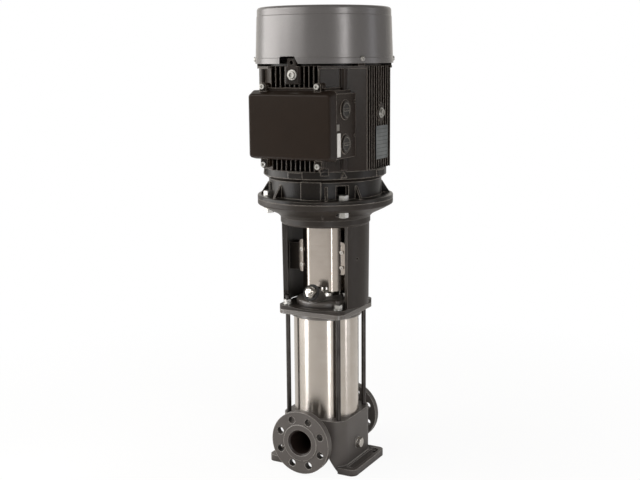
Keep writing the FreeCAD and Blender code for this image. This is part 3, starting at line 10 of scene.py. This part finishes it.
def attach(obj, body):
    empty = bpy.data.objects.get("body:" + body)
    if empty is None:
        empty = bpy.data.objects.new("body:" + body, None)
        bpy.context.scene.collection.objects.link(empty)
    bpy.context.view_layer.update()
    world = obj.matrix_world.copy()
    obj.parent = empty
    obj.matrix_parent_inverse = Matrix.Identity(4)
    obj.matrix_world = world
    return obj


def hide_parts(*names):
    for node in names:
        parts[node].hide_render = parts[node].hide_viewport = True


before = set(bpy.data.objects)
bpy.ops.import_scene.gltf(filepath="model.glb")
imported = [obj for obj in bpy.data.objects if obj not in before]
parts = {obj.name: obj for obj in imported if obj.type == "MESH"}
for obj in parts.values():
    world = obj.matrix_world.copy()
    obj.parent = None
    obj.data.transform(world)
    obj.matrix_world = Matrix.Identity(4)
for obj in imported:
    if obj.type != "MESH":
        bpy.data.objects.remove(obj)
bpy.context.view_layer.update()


# Camera: a short telephoto lens a little above the top of the pump, turned towards the
# front of the terminal box, as far away as the picture was taken from.
LENS = 57.99
CAMERA_PLACE = (1.2545, -2.3357, 1.0669)
CAMERA_HEADING = math.radians(28.56)
CAMERA_TILT = math.radians(79.95)
CAMERA_ROLL = math.radians(-0.48)
lens = bpy.data.cameras.new("camera")
lens.lens = LENS
lens.sensor_width = 36
camera = bpy.data.objects.new("camera", lens)
camera.matrix_world = (
    Matrix.Translation(CAMERA_PLACE)
    @ Matrix.Rotation(CAMERA_HEADING, 4, "Z")
    @ Matrix.Rotation(CAMERA_TILT, 4, "X")
    @ Matrix.Rotation(CAMERA_ROLL, 4, "Z")
)
bpy.context.scene.collection.objects.link(camera)
bpy.context.scene.camera = camera
bpy.context.scene.view_settings.view_transform = "Standard"


# Studio: a white sweep behind the pump and a dimmer room in front of it, which polished
# steel shows. Only rays that reach the camera straight or by a mirror see the white.
def colour(code):
    """sRGB hex code as the linear colour that a shader takes."""
    values = [int(code[i : i + 2], 16) / 255 for i in (1, 3, 5)]
    linear = [v / 12.92 if v <= 0.04045 else ((v + 0.055) / 1.055) ** 2.4 for v in values]
    return (*linear, 1)


def add(tree, kind, inputs=None, **fields):
    """Add one shader node, set its fields, and fill or link its inputs."""
    node = tree.nodes.new("ShaderNode" + kind)
    for field, value in fields.items():
        setattr(node, field, value)
    for socket, value in (inputs or {}).items():
        if isinstance(value, bpy.types.NodeSocket):
            tree.links.new(value, node.inputs[socket])
        else:
            node.inputs[socket].default_value = value
    return node


def straight_ray(tree, ray):
    """1 on rays that reach the camera straight or through glass, 0 on all others."""
    both = {0: ray["Is Camera Ray"], 1: ray["Is Transmission Ray"]}
    return add(tree, "Math", both, operation="MAXIMUM").outputs[0]


AMBIENT = 0.3
ROOM_FRONT = 0.3
ROOM_BACK = 1.0
world = bpy.data.worlds.new("studio")
world.use_nodes = True
bpy.context.scene.world = world
tree = world.node_tree
tree.nodes.clear()
ray = add(tree, "LightPath").outputs
facing = (-math.sin(CAMERA_HEADING), math.cos(CAMERA_HEADING), 0)
outward = add(tree, "TexCoord").outputs["Generated"]
aim = add(tree, "VectorMath", {0: outward, 1: facing}, operation="DOT_PRODUCT")
room = add(tree, "MapRange", {"Value": aim.outputs["Value"], "From Min": 0.6, "From Max": 0.95,
                              "To Min": ROOM_FRONT, "To Max": ROOM_BACK})
mirrored = add(tree, "Background", {"Color": colour("#fffaf2"), "Strength": room.outputs[0]})
diffused = add(tree, "Background", {"Color": colour("#fffaf4"), "Strength": AMBIENT})
white = add(tree, "Background", {"Color": (1, 1, 1, 1), "Strength": 1.0})
indirect = add(tree, "MixShader", {0: ray["Is Glossy Ray"], 1: diffused.outputs[0],
                                   2: mirrored.outputs[0]})
seen = add(tree, "MixShader", {0: straight_ray(tree, ray), 1: indirect.outputs[0],
                               2: white.outputs[0]})
add(tree, "OutputWorld", {"Surface": seen.outputs[0]})


# Floor: matt white paper that keeps a soft shadow of the pump, and turns into the plain
# white of the sweep a little way off, so that no line shows between the two.
def blank_material(name):
    """New material with an empty node tree, and that tree."""
    material = bpy.data.materials.new(name)
    material.use_nodes = True
    material.node_tree.nodes.clear()
    return material, material.node_tree


FLOOR_R = 12.0
SHADOW_R = 0.5
SWEEP_R = 1.6
PAPER_SEEN = 0.93
PAPER_MIRRORED = 0.35
mesh = bpy.data.meshes.new("floor")
build = bmesh.new()
bmesh.ops.create_circle(build, cap_ends=True, segments=96, radius=FLOOR_R)
build.to_mesh(mesh)
build.free()
floor = bpy.data.objects.new("floor", mesh)
bpy.context.scene.collection.objects.link(floor)
paper, tree = blank_material("white_paper")
ray = add(tree, "LightPath").outputs
matt = add(tree, "BsdfDiffuse", {"Color": colour("#f4f1ec"), "Roughness": 1.0})
glow = add(tree, "Emission", {"Color": (1, 1, 1, 1), "Strength": 1.0})
spread = add(tree, "VectorMath", {0: add(tree, "TexCoord").outputs["Object"]}, operation="LENGTH")
fade = add(tree, "MapRange", {"Value": spread.outputs["Value"], "From Min": SHADOW_R,
                              "From Max": SWEEP_R, "To Min": PAPER_SEEN, "To Max": 1.0})
bright = add(tree, "Math", {0: straight_ray(tree, ray), 1: fade.outputs[0]}, operation="MULTIPLY")
dim = add(tree, "Math", {0: ray["Is Glossy Ray"], 1: PAPER_MIRRORED}, operation="MULTIPLY")
share = add(tree, "Math", {0: bright.outputs[0], 1: dim.outputs[0]}, operation="MAXIMUM")
sheet = add(tree, "MixShader", {0: share.outputs[0], 1: matt.outputs[0], 2: glow.outputs[0]})
add(tree, "OutputMaterial", {"Surface": sheet.outputs[0]})
mesh.materials.append(paper)


# Lamps: upright soft boxes on stands. A strong low one and three broad high ones stand on the
# left and in front; on the right are two narrow strips, a low one and a high one, and two
# weak ones that only draw the right-hand edges.
def lamp(name, heading, distance, height, width, tall, glow, tint):
    """Upright area lamp that faces the shaft; heading is in degrees from the front, and glow
    the light that each square metre of it gives."""
    light = bpy.data.lights.new(name, "AREA")
    light.shape = "RECTANGLE"
    light.size = width
    light.size_y = tall
    light.energy = glow * math.pi * width * tall
    light.color = colour(tint)[:3]
    turn = math.radians(heading)
    place = Vector((math.sin(turn), -math.cos(turn), 0)) * distance
    place.z = height
    upright = Matrix.Rotation(turn, 4, "Z") @ Matrix.Rotation(math.pi / 2, 4, "X")
    stand = bpy.data.objects.new(name, light)
    stand.matrix_world = Matrix.Translation(place) @ upright
    bpy.context.scene.collection.objects.link(stand)


lamp("lamp_left", -43, 1.0, 0.36, 0.2, 0.68, 6.0, "#fafbff")
lamp("lamp_broad_left", -73, 2.5, 1.25, 1.9, 2.1, 3.7, "#fdfbf8")
lamp("lamp_high_left", -39, 2.4, 1.85, 1.1, 1.3, 3.8, "#fdfbf8")
lamp("lamp_high_front", -15, 2.4, 1.85, 0.7, 1.3, 2.0, "#fdfbf8")
lamp("lamp_low_strip", 37, 1.0, 0.34, 0.13, 0.64, 7.0, "#fafbff")
lamp("lamp_high_strip", 60, 2.4, 1.45, 0.3, 1.1, 7.5, "#fcfbfa")
lamp("lamp_low_right", 99, 1.2, 0.4, 0.07, 0.76, 5.0, "#f8f9ff")
lamp("lamp_right", 112, 2.3, 1.15, 0.4, 2.3, 1.2, "#f2f6ff")


# Pump base: sand-cast iron in grey enamel, with the in-line ports and the feet.
# The enamel is dull on the flats. Its edges are lighter, partly wear and partly painted highlight,
# and its corners darker, painted shade.
def painted_casting(name, paint, shade, wear_and_highlight, grain, roughness, sheen=0.45, flake=0.0,
                    radius=0.0016, painted_shade_reach=0.03, bore_skin_and_shade=None):
    """Sprayed enamel on a casting. shade is the paint's darker clouds and the edge colour its
    lighter edges, partly wear and partly painted highlight. grain is the size of the sand marks,
    radius how far an edge is eased and the corner reach how deep a corner is before painted
    shade darkens it, all three in metres. The bore is the radius and height of a bore along y
    that is painted dark, partly its cast skin and partly painted shade."""
    material, tree = blank_material(name)
    place = add(tree, "TexCoord").outputs["Object"]
    sand = add(tree, "TexNoise", {"Vector": place, "Scale": 1 / grain, "Detail": 5,
                                  "Roughness": 0.62})
    cloud = add(tree, "TexNoise", {"Vector": place, "Scale": 18, "Detail": 3, "Roughness": 0.55})
    eased = add(tree, "Bevel", {"Radius": radius}, samples=4)
    plain = add(tree, "NewGeometry").outputs["Normal"]
    bend = add(tree, "VectorMath", {0: eased.outputs[0], 1: plain}, operation="DOT_PRODUCT")
    # Lighter edges, partly wear and partly painted highlight: where the eased normal turns away
    # from the plain one.
    edge = add(tree, "MapRange", {"Value": bend.outputs["Value"], "From Min": 0.985,
                                  "From Max": 0.86, "To Min": 0, "To Max": 1})
    patchy_edge = add(tree, "MapRange", {"Value": sand.outputs[0], "From Min": 0.3, "From Max": 0.55})
    wear_and_highlight_mask = add(tree, "Math", {0: edge.outputs[0], 1: patchy_edge.outputs[0]}, operation="MULTIPLY")
    # Painted shade: the colour darkens in corners and recesses, as far as the ambient occlusion
    # reaches.
    occlusion = add(tree, "AmbientOcclusion", {"Distance": painted_shade_reach}, samples=4)
    unshaded_share = add(tree, "MapRange", {"Value": occlusion.outputs["AO"], "From Min": 0.3,
                                   "From Max": 0.85, "To Min": 0.35, "To Max": 1.0})
    tone = add(tree, "MixRGB", {0: cloud.outputs[0], 1: colour(shade), 2: colour(paint)})
    painted_shade_tone = add(tree, "MixRGB", {0: 1.0, 1: tone.outputs[0], 2: unshaded_share.outputs[0]},
                blend_type="MULTIPLY")
    # Painted highlight and wear: patches of the edges take the lighter edge colour.
    skin = add(tree, "MixRGB", {0: wear_and_highlight_mask.outputs[0], 1: painted_shade_tone.outputs[0], 2: colour(wear_and_highlight)})
    # Inside the bore the colour turns dark: partly its cast skin and partly painted shade deep in
    # the port.
    if bore_skin_and_shade:
        offset = add(tree, "VectorMath", {0: place, 1: (0, 0, bore_skin_and_shade[1])}, operation="SUBTRACT")
        across = add(tree, "VectorMath", {0: offset.outputs[0], 1: (1, 0, 1)}, operation="MULTIPLY")
        reach = add(tree, "VectorMath", {0: across.outputs[0]}, operation="LENGTH").outputs["Value"]
        inside = add(tree, "Math", {0: reach, 1: bore_skin_and_shade[0]}, operation="LESS_THAN")
        skin = add(tree, "MixRGB", {0: inside.outputs[0], 1: skin.outputs[0], 2: colour("#241b17")})
    dull = add(tree, "MapRange", {"Value": sand.outputs[0], "From Min": 0.3, "From Max": 0.7,
                                  "To Min": roughness - 0.06, "To Max": roughness + 0.1})
    relief = add(tree, "Bump", {"Height": sand.outputs[0], "Strength": 0.45,
                                "Distance": grain * 0.22, "Normal": eased.outputs[0]})
    coat = add(tree, "BsdfPrincipled", {"Base Color": skin.outputs[0], "Roughness": dull.outputs[0],
                                        "Specular IOR Level": sheen, "Metallic": flake,
                                        "Normal": relief.outputs[0]})
    add(tree, "OutputMaterial", {"Surface": coat.outputs[0]})
    return material


def finish(material, *names):
    """Give these CAD pieces the finish."""
    for name in names:
        for slot in parts[name].material_slots:
            slot.material = material


# The suction port's bore is painted dark, partly its cast skin and partly painted shade.
PORT_SKIN_AND_SHADE_R = 0.0345
PORT_Z = 0.09
iron_grey = painted_casting("grey_enamel_on_cast_iron", "#5b5653", "#4b4744", "#c6c1ba",
                            grain=0.0022, roughness=0.4, radius=0.0028, painted_shade_reach=0.02,
                            bore_skin_and_shade=(PORT_SKIN_AND_SHADE_R, PORT_Z))
finish(iron_grey, "pump_base")


# Drain plug: turned stainless hexagon plug on a soft washer. Fine tool marks break its
# highlight up into small glints.
EDGE_EASE = 0.0005


def bare_metal(name, tone, shade, lay, roughness, streak=0.5, anisotropy=0.0, turn=0.0):
    """Unpainted metal. lay is how many tool marks there are to a metre along x, y and z, and
    streak how deep they are. anisotropy and turn draw highlights out across the marks."""
    material, tree = blank_material(name)
    place = add(tree, "TexCoord").outputs["Object"]
    along = add(tree, "Mapping", {"Vector": place, "Scale": lay}).outputs[0]
    marks = add(tree, "TexNoise", {"Vector": along, "Scale": 1.0, "Detail": 4, "Roughness": 0.6})
    stain = add(tree, "TexNoise", {"Vector": place, "Scale": 30, "Detail": 3, "Roughness": 0.5})
    blend = add(tree, "Math", {0: marks.outputs[0], 1: stain.outputs[0]}, operation="MULTIPLY")
    depth = add(tree, "MapRange", {"Value": blend.outputs[0], "From Min": 0.12, "From Max": 0.38})
    skin = add(tree, "MixRGB", {0: depth.outputs[0], 1: colour(shade), 2: colour(tone)})
    dull = add(tree, "MapRange", {"Value": marks.outputs[0], "From Min": 0.3, "From Max": 0.7,
                                  "To Min": roughness * (1 - 0.3 * streak),
                                  "To Max": roughness * (1 + 0.4 * streak)})
    eased = add(tree, "Bevel", {"Radius": EDGE_EASE}, samples=4)
    relief = add(tree, "Bump", {"Height": marks.outputs[0], "Strength": streak * 0.2,
                                "Distance": 0.0002, "Normal": eased.outputs[0]})
    metal = add(tree, "BsdfPrincipled", {"Base Color": skin.outputs[0], "Metallic": 1.0,
                                         "Roughness": dull.outputs[0], "Anisotropic": anisotropy,
                                         "Anisotropic Rotation": turn, "Normal": relief.outputs[0]})
    if anisotropy:
        around = add(tree, "Tangent", direction_type="RADIAL", axis="Z")
        tree.links.new(around.outputs[0], metal.inputs["Tangent"])
    add(tree, "OutputMaterial", {"Surface": metal.outputs[0]})
    return material


turned_stainless = bare_metal("turned_stainless", "#d9d5cf", "#bab5ae", (700, 700, 700), 0.24)
finish(turned_stainless, "drain_plug")


# Sleeve gaskets: moulded EPDM rings, black and matt, at the bottom of the grooves that the
# sleeve stands in.
def moulding(name, tone, shade, grain, roughness):
    """Moulded rubber or plastic: grain is the size of the mould's spark marks in metres."""
    material, tree = blank_material(name)
    place = add(tree, "TexCoord").outputs["Object"]
    pores = add(tree, "TexNoise", {"Vector": place, "Scale": 1 / grain, "Detail": 3,
                                   "Roughness": 0.6})
    cloud = add(tree, "TexNoise", {"Vector": place, "Scale": 22, "Detail": 2})
    skin = add(tree, "MixRGB", {0: cloud.outputs[0], 1: colour(shade), 2: colour(tone)})
    dull = add(tree, "MapRange", {"Value": cloud.outputs[0], "From Min": 0.3, "From Max": 0.7,
                                  "To Min": roughness - 0.04, "To Max": roughness + 0.06})
    relief = add(tree, "Bump", {"Height": pores.outputs[0], "Strength": 0.3,
                                "Distance": grain * 0.2})
    body = add(tree, "BsdfPrincipled", {"Base Color": skin.outputs[0], "Roughness": dull.outputs[0],
                                        "Specular IOR Level": 0.4, "Normal": relief.outputs[0]})
    add(tree, "OutputMaterial", {"Surface": body.outputs[0]})
    return material


epdm_rubber = moulding("epdm_rubber", "#1d1c1b", "#141312", 0.0008, 0.6)
finish(epdm_rubber, "sleeve_gaskets")


# Outer sleeve: drawn stainless tube, polished round and round, so that each lamp shows in
# it as one upright streak.
polished_tube = bare_metal("polished_stainless_tube", "#cbc4bd", "#c3bbb2", (6, 6, 700), 0.25,
                           streak=0.012, anisotropy=0.9, turn=0.25)
finish(polished_tube, "outer_sleeve")


# Tie rods: cold-drawn steel bars with a dark passivated skin; their nuts and washers are
# bright zinc.
dark_rod = bare_metal("passivated_steel_rod", "#504d4b", "#3c3937", (900, 900, 60), 0.42)
finish(dark_rod, "tie_rods")
zinc_plate = bare_metal("bright_zinc_plate", "#c9c8c4", "#a5a39e", (260, 260, 260), 0.34)
finish(zinc_plate, "tie_rod_nuts")


# Stages: pressed and welded stainless chambers and impellers on a ground shaft. The pressed
# sheet is duller than the polished sleeve round it.
pressed_stainless = bare_metal("pressed_stainless", "#bdb9b3", "#a6a19a", (120, 120, 500), 0.38)
for count in range(1, 6):
    finish(pressed_stainless, f"chamber_{count}", f"impeller_{count}")
finish(pressed_stainless, "inlet_part", "top_chamber")
ground_shaft = bare_metal("ground_stainless_shaft", "#cfccc6", "#b9b5af", (40, 40, 2500), 0.2)
finish(ground_shaft, "pump_shaft", "motor_shaft")
finish(turned_stainless, "shaft_nut")


# Pump head: the same casting as the base, with the slanted vent boss. Its enamel is lighter
# than the base's, painted light on the dome and flange that the lamps leave dim, and glossier.
head_grey = painted_casting("lightened_grey_enamel_on_head", "#645f5a", "#514c48", "#c6c1ba",
                            grain=0.0022, roughness=0.28, sheen=0.8, radius=0.0026, painted_shade_reach=0.008)
finish(head_grey, "pump_head")
finish(turned_stainless, "vent_plug", "vent_screw", "seal_cartridge", "seal_driver")


# Vent gasket: black rubber ring between the vent plug and the face of its boss, which looks
# up 30 degrees from level. Round the bright plug it is also painted shade on the boss face.
def finished(build, name, material, body):
    """Make the finished bmesh a piece with the material, riding on the body."""
    mesh = bpy.data.meshes.new(name)
    build.to_mesh(mesh)
    build.free()
    mesh.materials.append(material)
    piece = bpy.data.objects.new(name, mesh)
    bpy.context.scene.collection.objects.link(piece)
    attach(piece, body)
    return piece


GASKET_IN = 0.0155
GASKET_OUT = 0.0225
GASKET_THICK = 0.0025
GASKET_CLIP = 0.00045
VENT_FACE = (0, -0.079, 0.472)
VENT_TILT = math.radians(60)
build = bmesh.new()
section = [
    (GASKET_IN, 0),
    (GASKET_OUT, 0),
    (GASKET_OUT, GASKET_THICK * 0.7),
    (GASKET_OUT - GASKET_CLIP, GASKET_THICK),
    (GASKET_IN, GASKET_THICK),
]
corners = [build.verts.new((x, 0, z)) for x, z in section]
edges = [build.edges.new((corners[i - 1], corners[i])) for i in range(len(corners))]
bmesh.ops.spin(build, geom=corners + edges, cent=(0, 0, 0), axis=(0, 0, 1), angle=2 * math.pi,
               steps=64, use_merge=True)
tilted = Matrix.Translation(VENT_FACE) @ Matrix.Rotation(VENT_TILT, 4, "X")
bmesh.ops.transform(build, matrix=tilted, verts=build.verts[:])
bmesh.ops.recalc_face_normals(build, faces=build.faces[:])
finished(build, "vent_gasket_and_shade_ring", epdm_rubber, "pump")


# Motor stool: lantern casting in a coat painted darker than the base's, painted shade on its
# ring and pillars, and duller.
shaded_stool_grey = painted_casting("shaded_grey_enamel_on_lantern", "#35302c", "#2a2521", "#8a847e",
                             grain=0.0022, roughness=0.38, sheen=0.22, radius=0.0026)
finish(shaded_stool_grey, "motor_stool")


# Coupling guards: bright stainless sheet, 1 mm, folded to a flat front with rounded corners
# and slanted flanks, so that each corner draws one bright line. A clipped wing on each side
# is screwed to the lug of a pillar; the front one has a notch over the vent boss.
GUARD_SHEET = 0.001
GUARD_TOP = 0.636
FRONT_BOTTOM = 0.470
REAR_BOTTOM = 0.450
NOTCH_X = 0.027
NOTCH_TOP = 0.480
FOLD_X = 0.034
FOLD_Y = 0.040
FOLD_EASE = 0.0062
FLANK_X = 0.056
WING_Y = 0.0215
WING_PLAN = [
    (0.0555, 0.513),
    (0.063, 0.513),
    (0.070, 0.522),
    (0.070, 0.589),
    (0.063, 0.598),
    (0.0555, 0.598),
]
SHARP_FROM = math.radians(40)
guard_sheet = bare_metal("bright_stainless_sheet", "#c5bcb3", "#bbb2a9", (6, 6, 600), 0.21,
                         streak=0.015, anisotropy=0.6, turn=0.25)


def guard(name, node, side, levels, notched):
    """Guard sheet, made in front of the shaft and turned behind it where side is 1. levels are
    the heights of its rows; the lowest row has a gap in the middle where notched."""
    build = bmesh.new()
    across = [(-FLANK_X, WING_Y), (-FOLD_X, FOLD_Y), (-NOTCH_X, FOLD_Y)]
    across += [(-x, y) for x, y in reversed(across)]
    rows = [[build.verts.new((x, -y, z)) for x, y in across] for z in levels]
    for low, high in zip(rows, rows[1:]):
        for i in range(len(across) - 1):
            build.faces.new((low[i], low[i + 1], high[i + 1], high[i]))
    if notched:
        middles = {face: face.calc_center_median() for face in build.faces}
        notch = [face for face, middle in middles.items()
                 if abs(middle.x) < NOTCH_X and middle.z < levels[1]]
        bmesh.ops.delete(build, geom=notch, context="FACES")
    folds = [edge for edge in build.edges
             if all(abs(abs(end.co.x) - FOLD_X) < 1e-6 for end in edge.verts)]
    bmesh.ops.bevel(build, geom=folds, offset=FOLD_EASE, affect="EDGES", segments=10, profile=0.5,
                    material=-1)
    for hand in (-1, 1):
        build.faces.new([build.verts.new((hand * x, -WING_Y, z)) for x, z in WING_PLAN])
    if side > 0:
        bmesh.ops.rotate(build, cent=(0, 0, 0), matrix=Matrix.Rotation(math.pi, 3, "Z"),
                         verts=build.verts[:])
    bmesh.ops.recalc_face_normals(build, faces=build.faces[:])
    bmesh.ops.solidify(build, geom=build.faces[:], thickness=GUARD_SHEET)
    bmesh.ops.recalc_face_normals(build, faces=build.faces[:])
    for face in build.faces:
        face.smooth = True
    for edge in build.edges:
        edge.smooth = edge.calc_face_angle(0) < SHARP_FROM
    piece = finished(build, name, guard_sheet, "pump")
    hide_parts(node)


guard("guard_sheet_front", "guard_front", -1, (FRONT_BOTTOM, NOTCH_TOP, GUARD_TOP), True)
guard("guard_sheet_rear", "guard_rear", 1, (REAR_BOTTOM, GUARD_TOP), False)
finish(turned_stainless, "guard_screws")


# Coupling: two ground cast-iron halves, phosphated black, with black steel screws, so that
# it stays dark behind the bright guards.
phosphated_iron = bare_metal("phosphated_cast_iron", "#4a4846", "#373533", (400, 400, 400), 0.5)
finish(phosphated_iron, "coupling_left", "coupling_right")
black_oxide = bare_metal("black_oxide_steel", "#3c3a38", "#2a2827", (500, 500, 500), 0.4)
finish(black_oxide, "coupling_screws")
finish(ground_shaft, "coupling_pin")


# Motor castings: cast iron in brown-black enamel, a little smoother than the pump's. Lighter
# edges, partly wear and partly painted highlight, draw fins and gussets as fine light lines.
motor_black = painted_casting("black_enamel_on_motor_casting", "#2a211b", "#1f1711", "#aaa298",
                              grain=0.0016, roughness=0.28, sheen=0.27, radius=0.002, painted_shade_reach=0.05)
finish(motor_black, "motor_frame", "non_drive_shield")
# The drive-end shield takes a darker copy of the motor enamel, painted shade on its walls, with
# lighter edges, painted highlight, on its gussets and rim.
shaded_shield_black = painted_casting("shaded_black_enamel_on_end_shield", "#1b1612", "#14100c", "#bdb5ab",
                               grain=0.0018, roughness=0.3, sheen=0.25, radius=0.003, painted_shade_reach=0.025)
finish(shaded_shield_black, "drive_end_shield")
finish(zinc_plate, "flange_bolts", "flange_nuts", "lifting_boss_screws")
finish(black_oxide, "shield_screws")


# Inside of the motor: brown varnished laminations, orange enamelled copper and bright
# rolling bearings.
core_sheets = bare_metal("varnished_laminations", "#7d7872", "#5f5a55", (30, 30, 2000), 0.45)
finish(core_sheets, "stator_core", "rotor_core")
copper_wire = bare_metal("enamelled_copper", "#b5652f", "#8a4519", (300, 300, 900), 0.35,
                         streak=1.0)
finish(copper_wire, "stator_windings")
bearing_steel = bare_metal("bearing_steel", "#cfcdc9", "#bcbab5", (900, 900, 900), 0.15)
for end in ("low", "high"):
    for ring in ("outer", "inner", "balls"):
        finish(bearing_steel, f"bearing_{end}_{ring}")


# Fan and its cover: moulded nylon fan under a drawn steel cover in satin grey enamel, whose
# metal flake spreads each lamp to a broad soft band.
fan_nylon = moulding("glass_filled_nylon", "#26241f", "#1a1916", 0.0012, 0.5)
finish(fan_nylon, "cooling_fan")
cover_grey = painted_casting("satin_grey_enamel_on_sheet", "#7d7b7b", "#787676", "#a5a19d",
                             grain=0.0006, roughness=0.27, flake=0.45, radius=0.001)
finish(cover_grey, "fan_cover")
finish(zinc_plate, "cover_screws")


# Terminal box: die-cast aluminium in the motor's brown-black enamel, with zinc screws. Its
# grain is finer than the iron's, which keeps the large face of the lid even.
# Its lighter edges are partly wear and partly painted highlight along the rims.
box_black = painted_casting("black_enamel_on_die_casting", "#261c14", "#1f160f", "#b1a89e",
                            grain=0.0011, roughness=0.27, sheen=0.21, radius=0.0024)
finish(box_black, "terminal_box", "terminal_lid")
finish(zinc_plate, "lid_screws")
thermoset = moulding("brown_thermoset", "#4a3324", "#38261b", 0.001, 0.45)
finish(thermoset, "terminal_board")
# Blanking plugs: black nylon whose lighter rims are painted highlight.
plug_nylon = painted_casting("black_nylon_with_highlit_rims", "#1f1d1b", "#171513", "#a39d94",
                             grain=0.0009, roughness=0.3, sheen=0.4, radius=0.0028)
finish(plug_nylon, "blanking_plugs")


# Labels and moulded bumps on the side of the terminal box: a blank white label and a small
# grey one with satin faces, seated on the side wall.
def plate(name, low, high, edge, material):
    """Flat piece between two corners, in metres, with its edges eased by edge."""
    build = bmesh.new()
    bmesh.ops.create_cube(build, size=1)
    middle = [(top + bottom) / 2 for bottom, top in zip(low, high)]
    bmesh.ops.scale(build, vec=[top - bottom for bottom, top in zip(low, high)],
                    verts=build.verts[:])
    bmesh.ops.translate(build, vec=middle, verts=build.verts[:])
    bmesh.ops.bevel(build, geom=build.edges[:], offset=edge, affect="EDGES", segments=2,
                    profile=0.5, material=-1)
    finished(build, name, material, "pump")


SEATED_X = 0.1329
LABEL_X = 0.1336
BUMP_X = 0.1345
BUMP_Y = -0.097
BUMP_HALF = 0.004
BUMP_LEVELS = (0.8801, 0.9624)
white_film = moulding("white_label_film", "#f2f1ee", "#e9e8e4", 0.0009, 0.45)
grey_film = moulding("grey_label_film", "#8b8883", "#77746f", 0.0009, 0.45)
plate("label_white", (SEATED_X, -0.187, 0.834), (LABEL_X, -0.170, 0.890), 0.0002, white_film)
plate("label_grey", (SEATED_X, -0.190, 0.896), (LABEL_X, -0.176, 0.911), 0.0002, grey_film)
for count, level in enumerate(BUMP_LEVELS):
    plate(f"box_bump_{count + 1}", (SEATED_X, BUMP_Y - BUMP_HALF, level - BUMP_HALF),
          (BUMP_X, BUMP_Y + BUMP_HALF, level + BUMP_HALF), 0.0012, box_black)


# Nameplate: satin aluminium sheet with plain ruled fields, a little darker than the sheet. It
# bears no marking.
RULES = 8
RULE_LOW = 0.823
RULE_PITCH = 0.0095
RULE_HALF = 0.0004
RULE_Y = (-0.0128, 0.0458)
RULE_X = (0.1542, 0.15468)
plate_metal = bare_metal("satin_aluminium_plate", "#8f9394", "#74787a", (900, 60, 60), 0.42)
finish(plate_metal, "nameplate")
etched_grey = moulding("etched_rule_grey", "#454748", "#3c3e3f", 0.0009, 0.6)
for count in range(RULES):
    level = RULE_LOW + count * RULE_PITCH
    plate(f"nameplate_rule_{count + 1}", (RULE_X[0], RULE_Y[0], level - RULE_HALF),
          (RULE_X[1], RULE_Y[1], level + RULE_HALF), 0.00005, etched_grey)
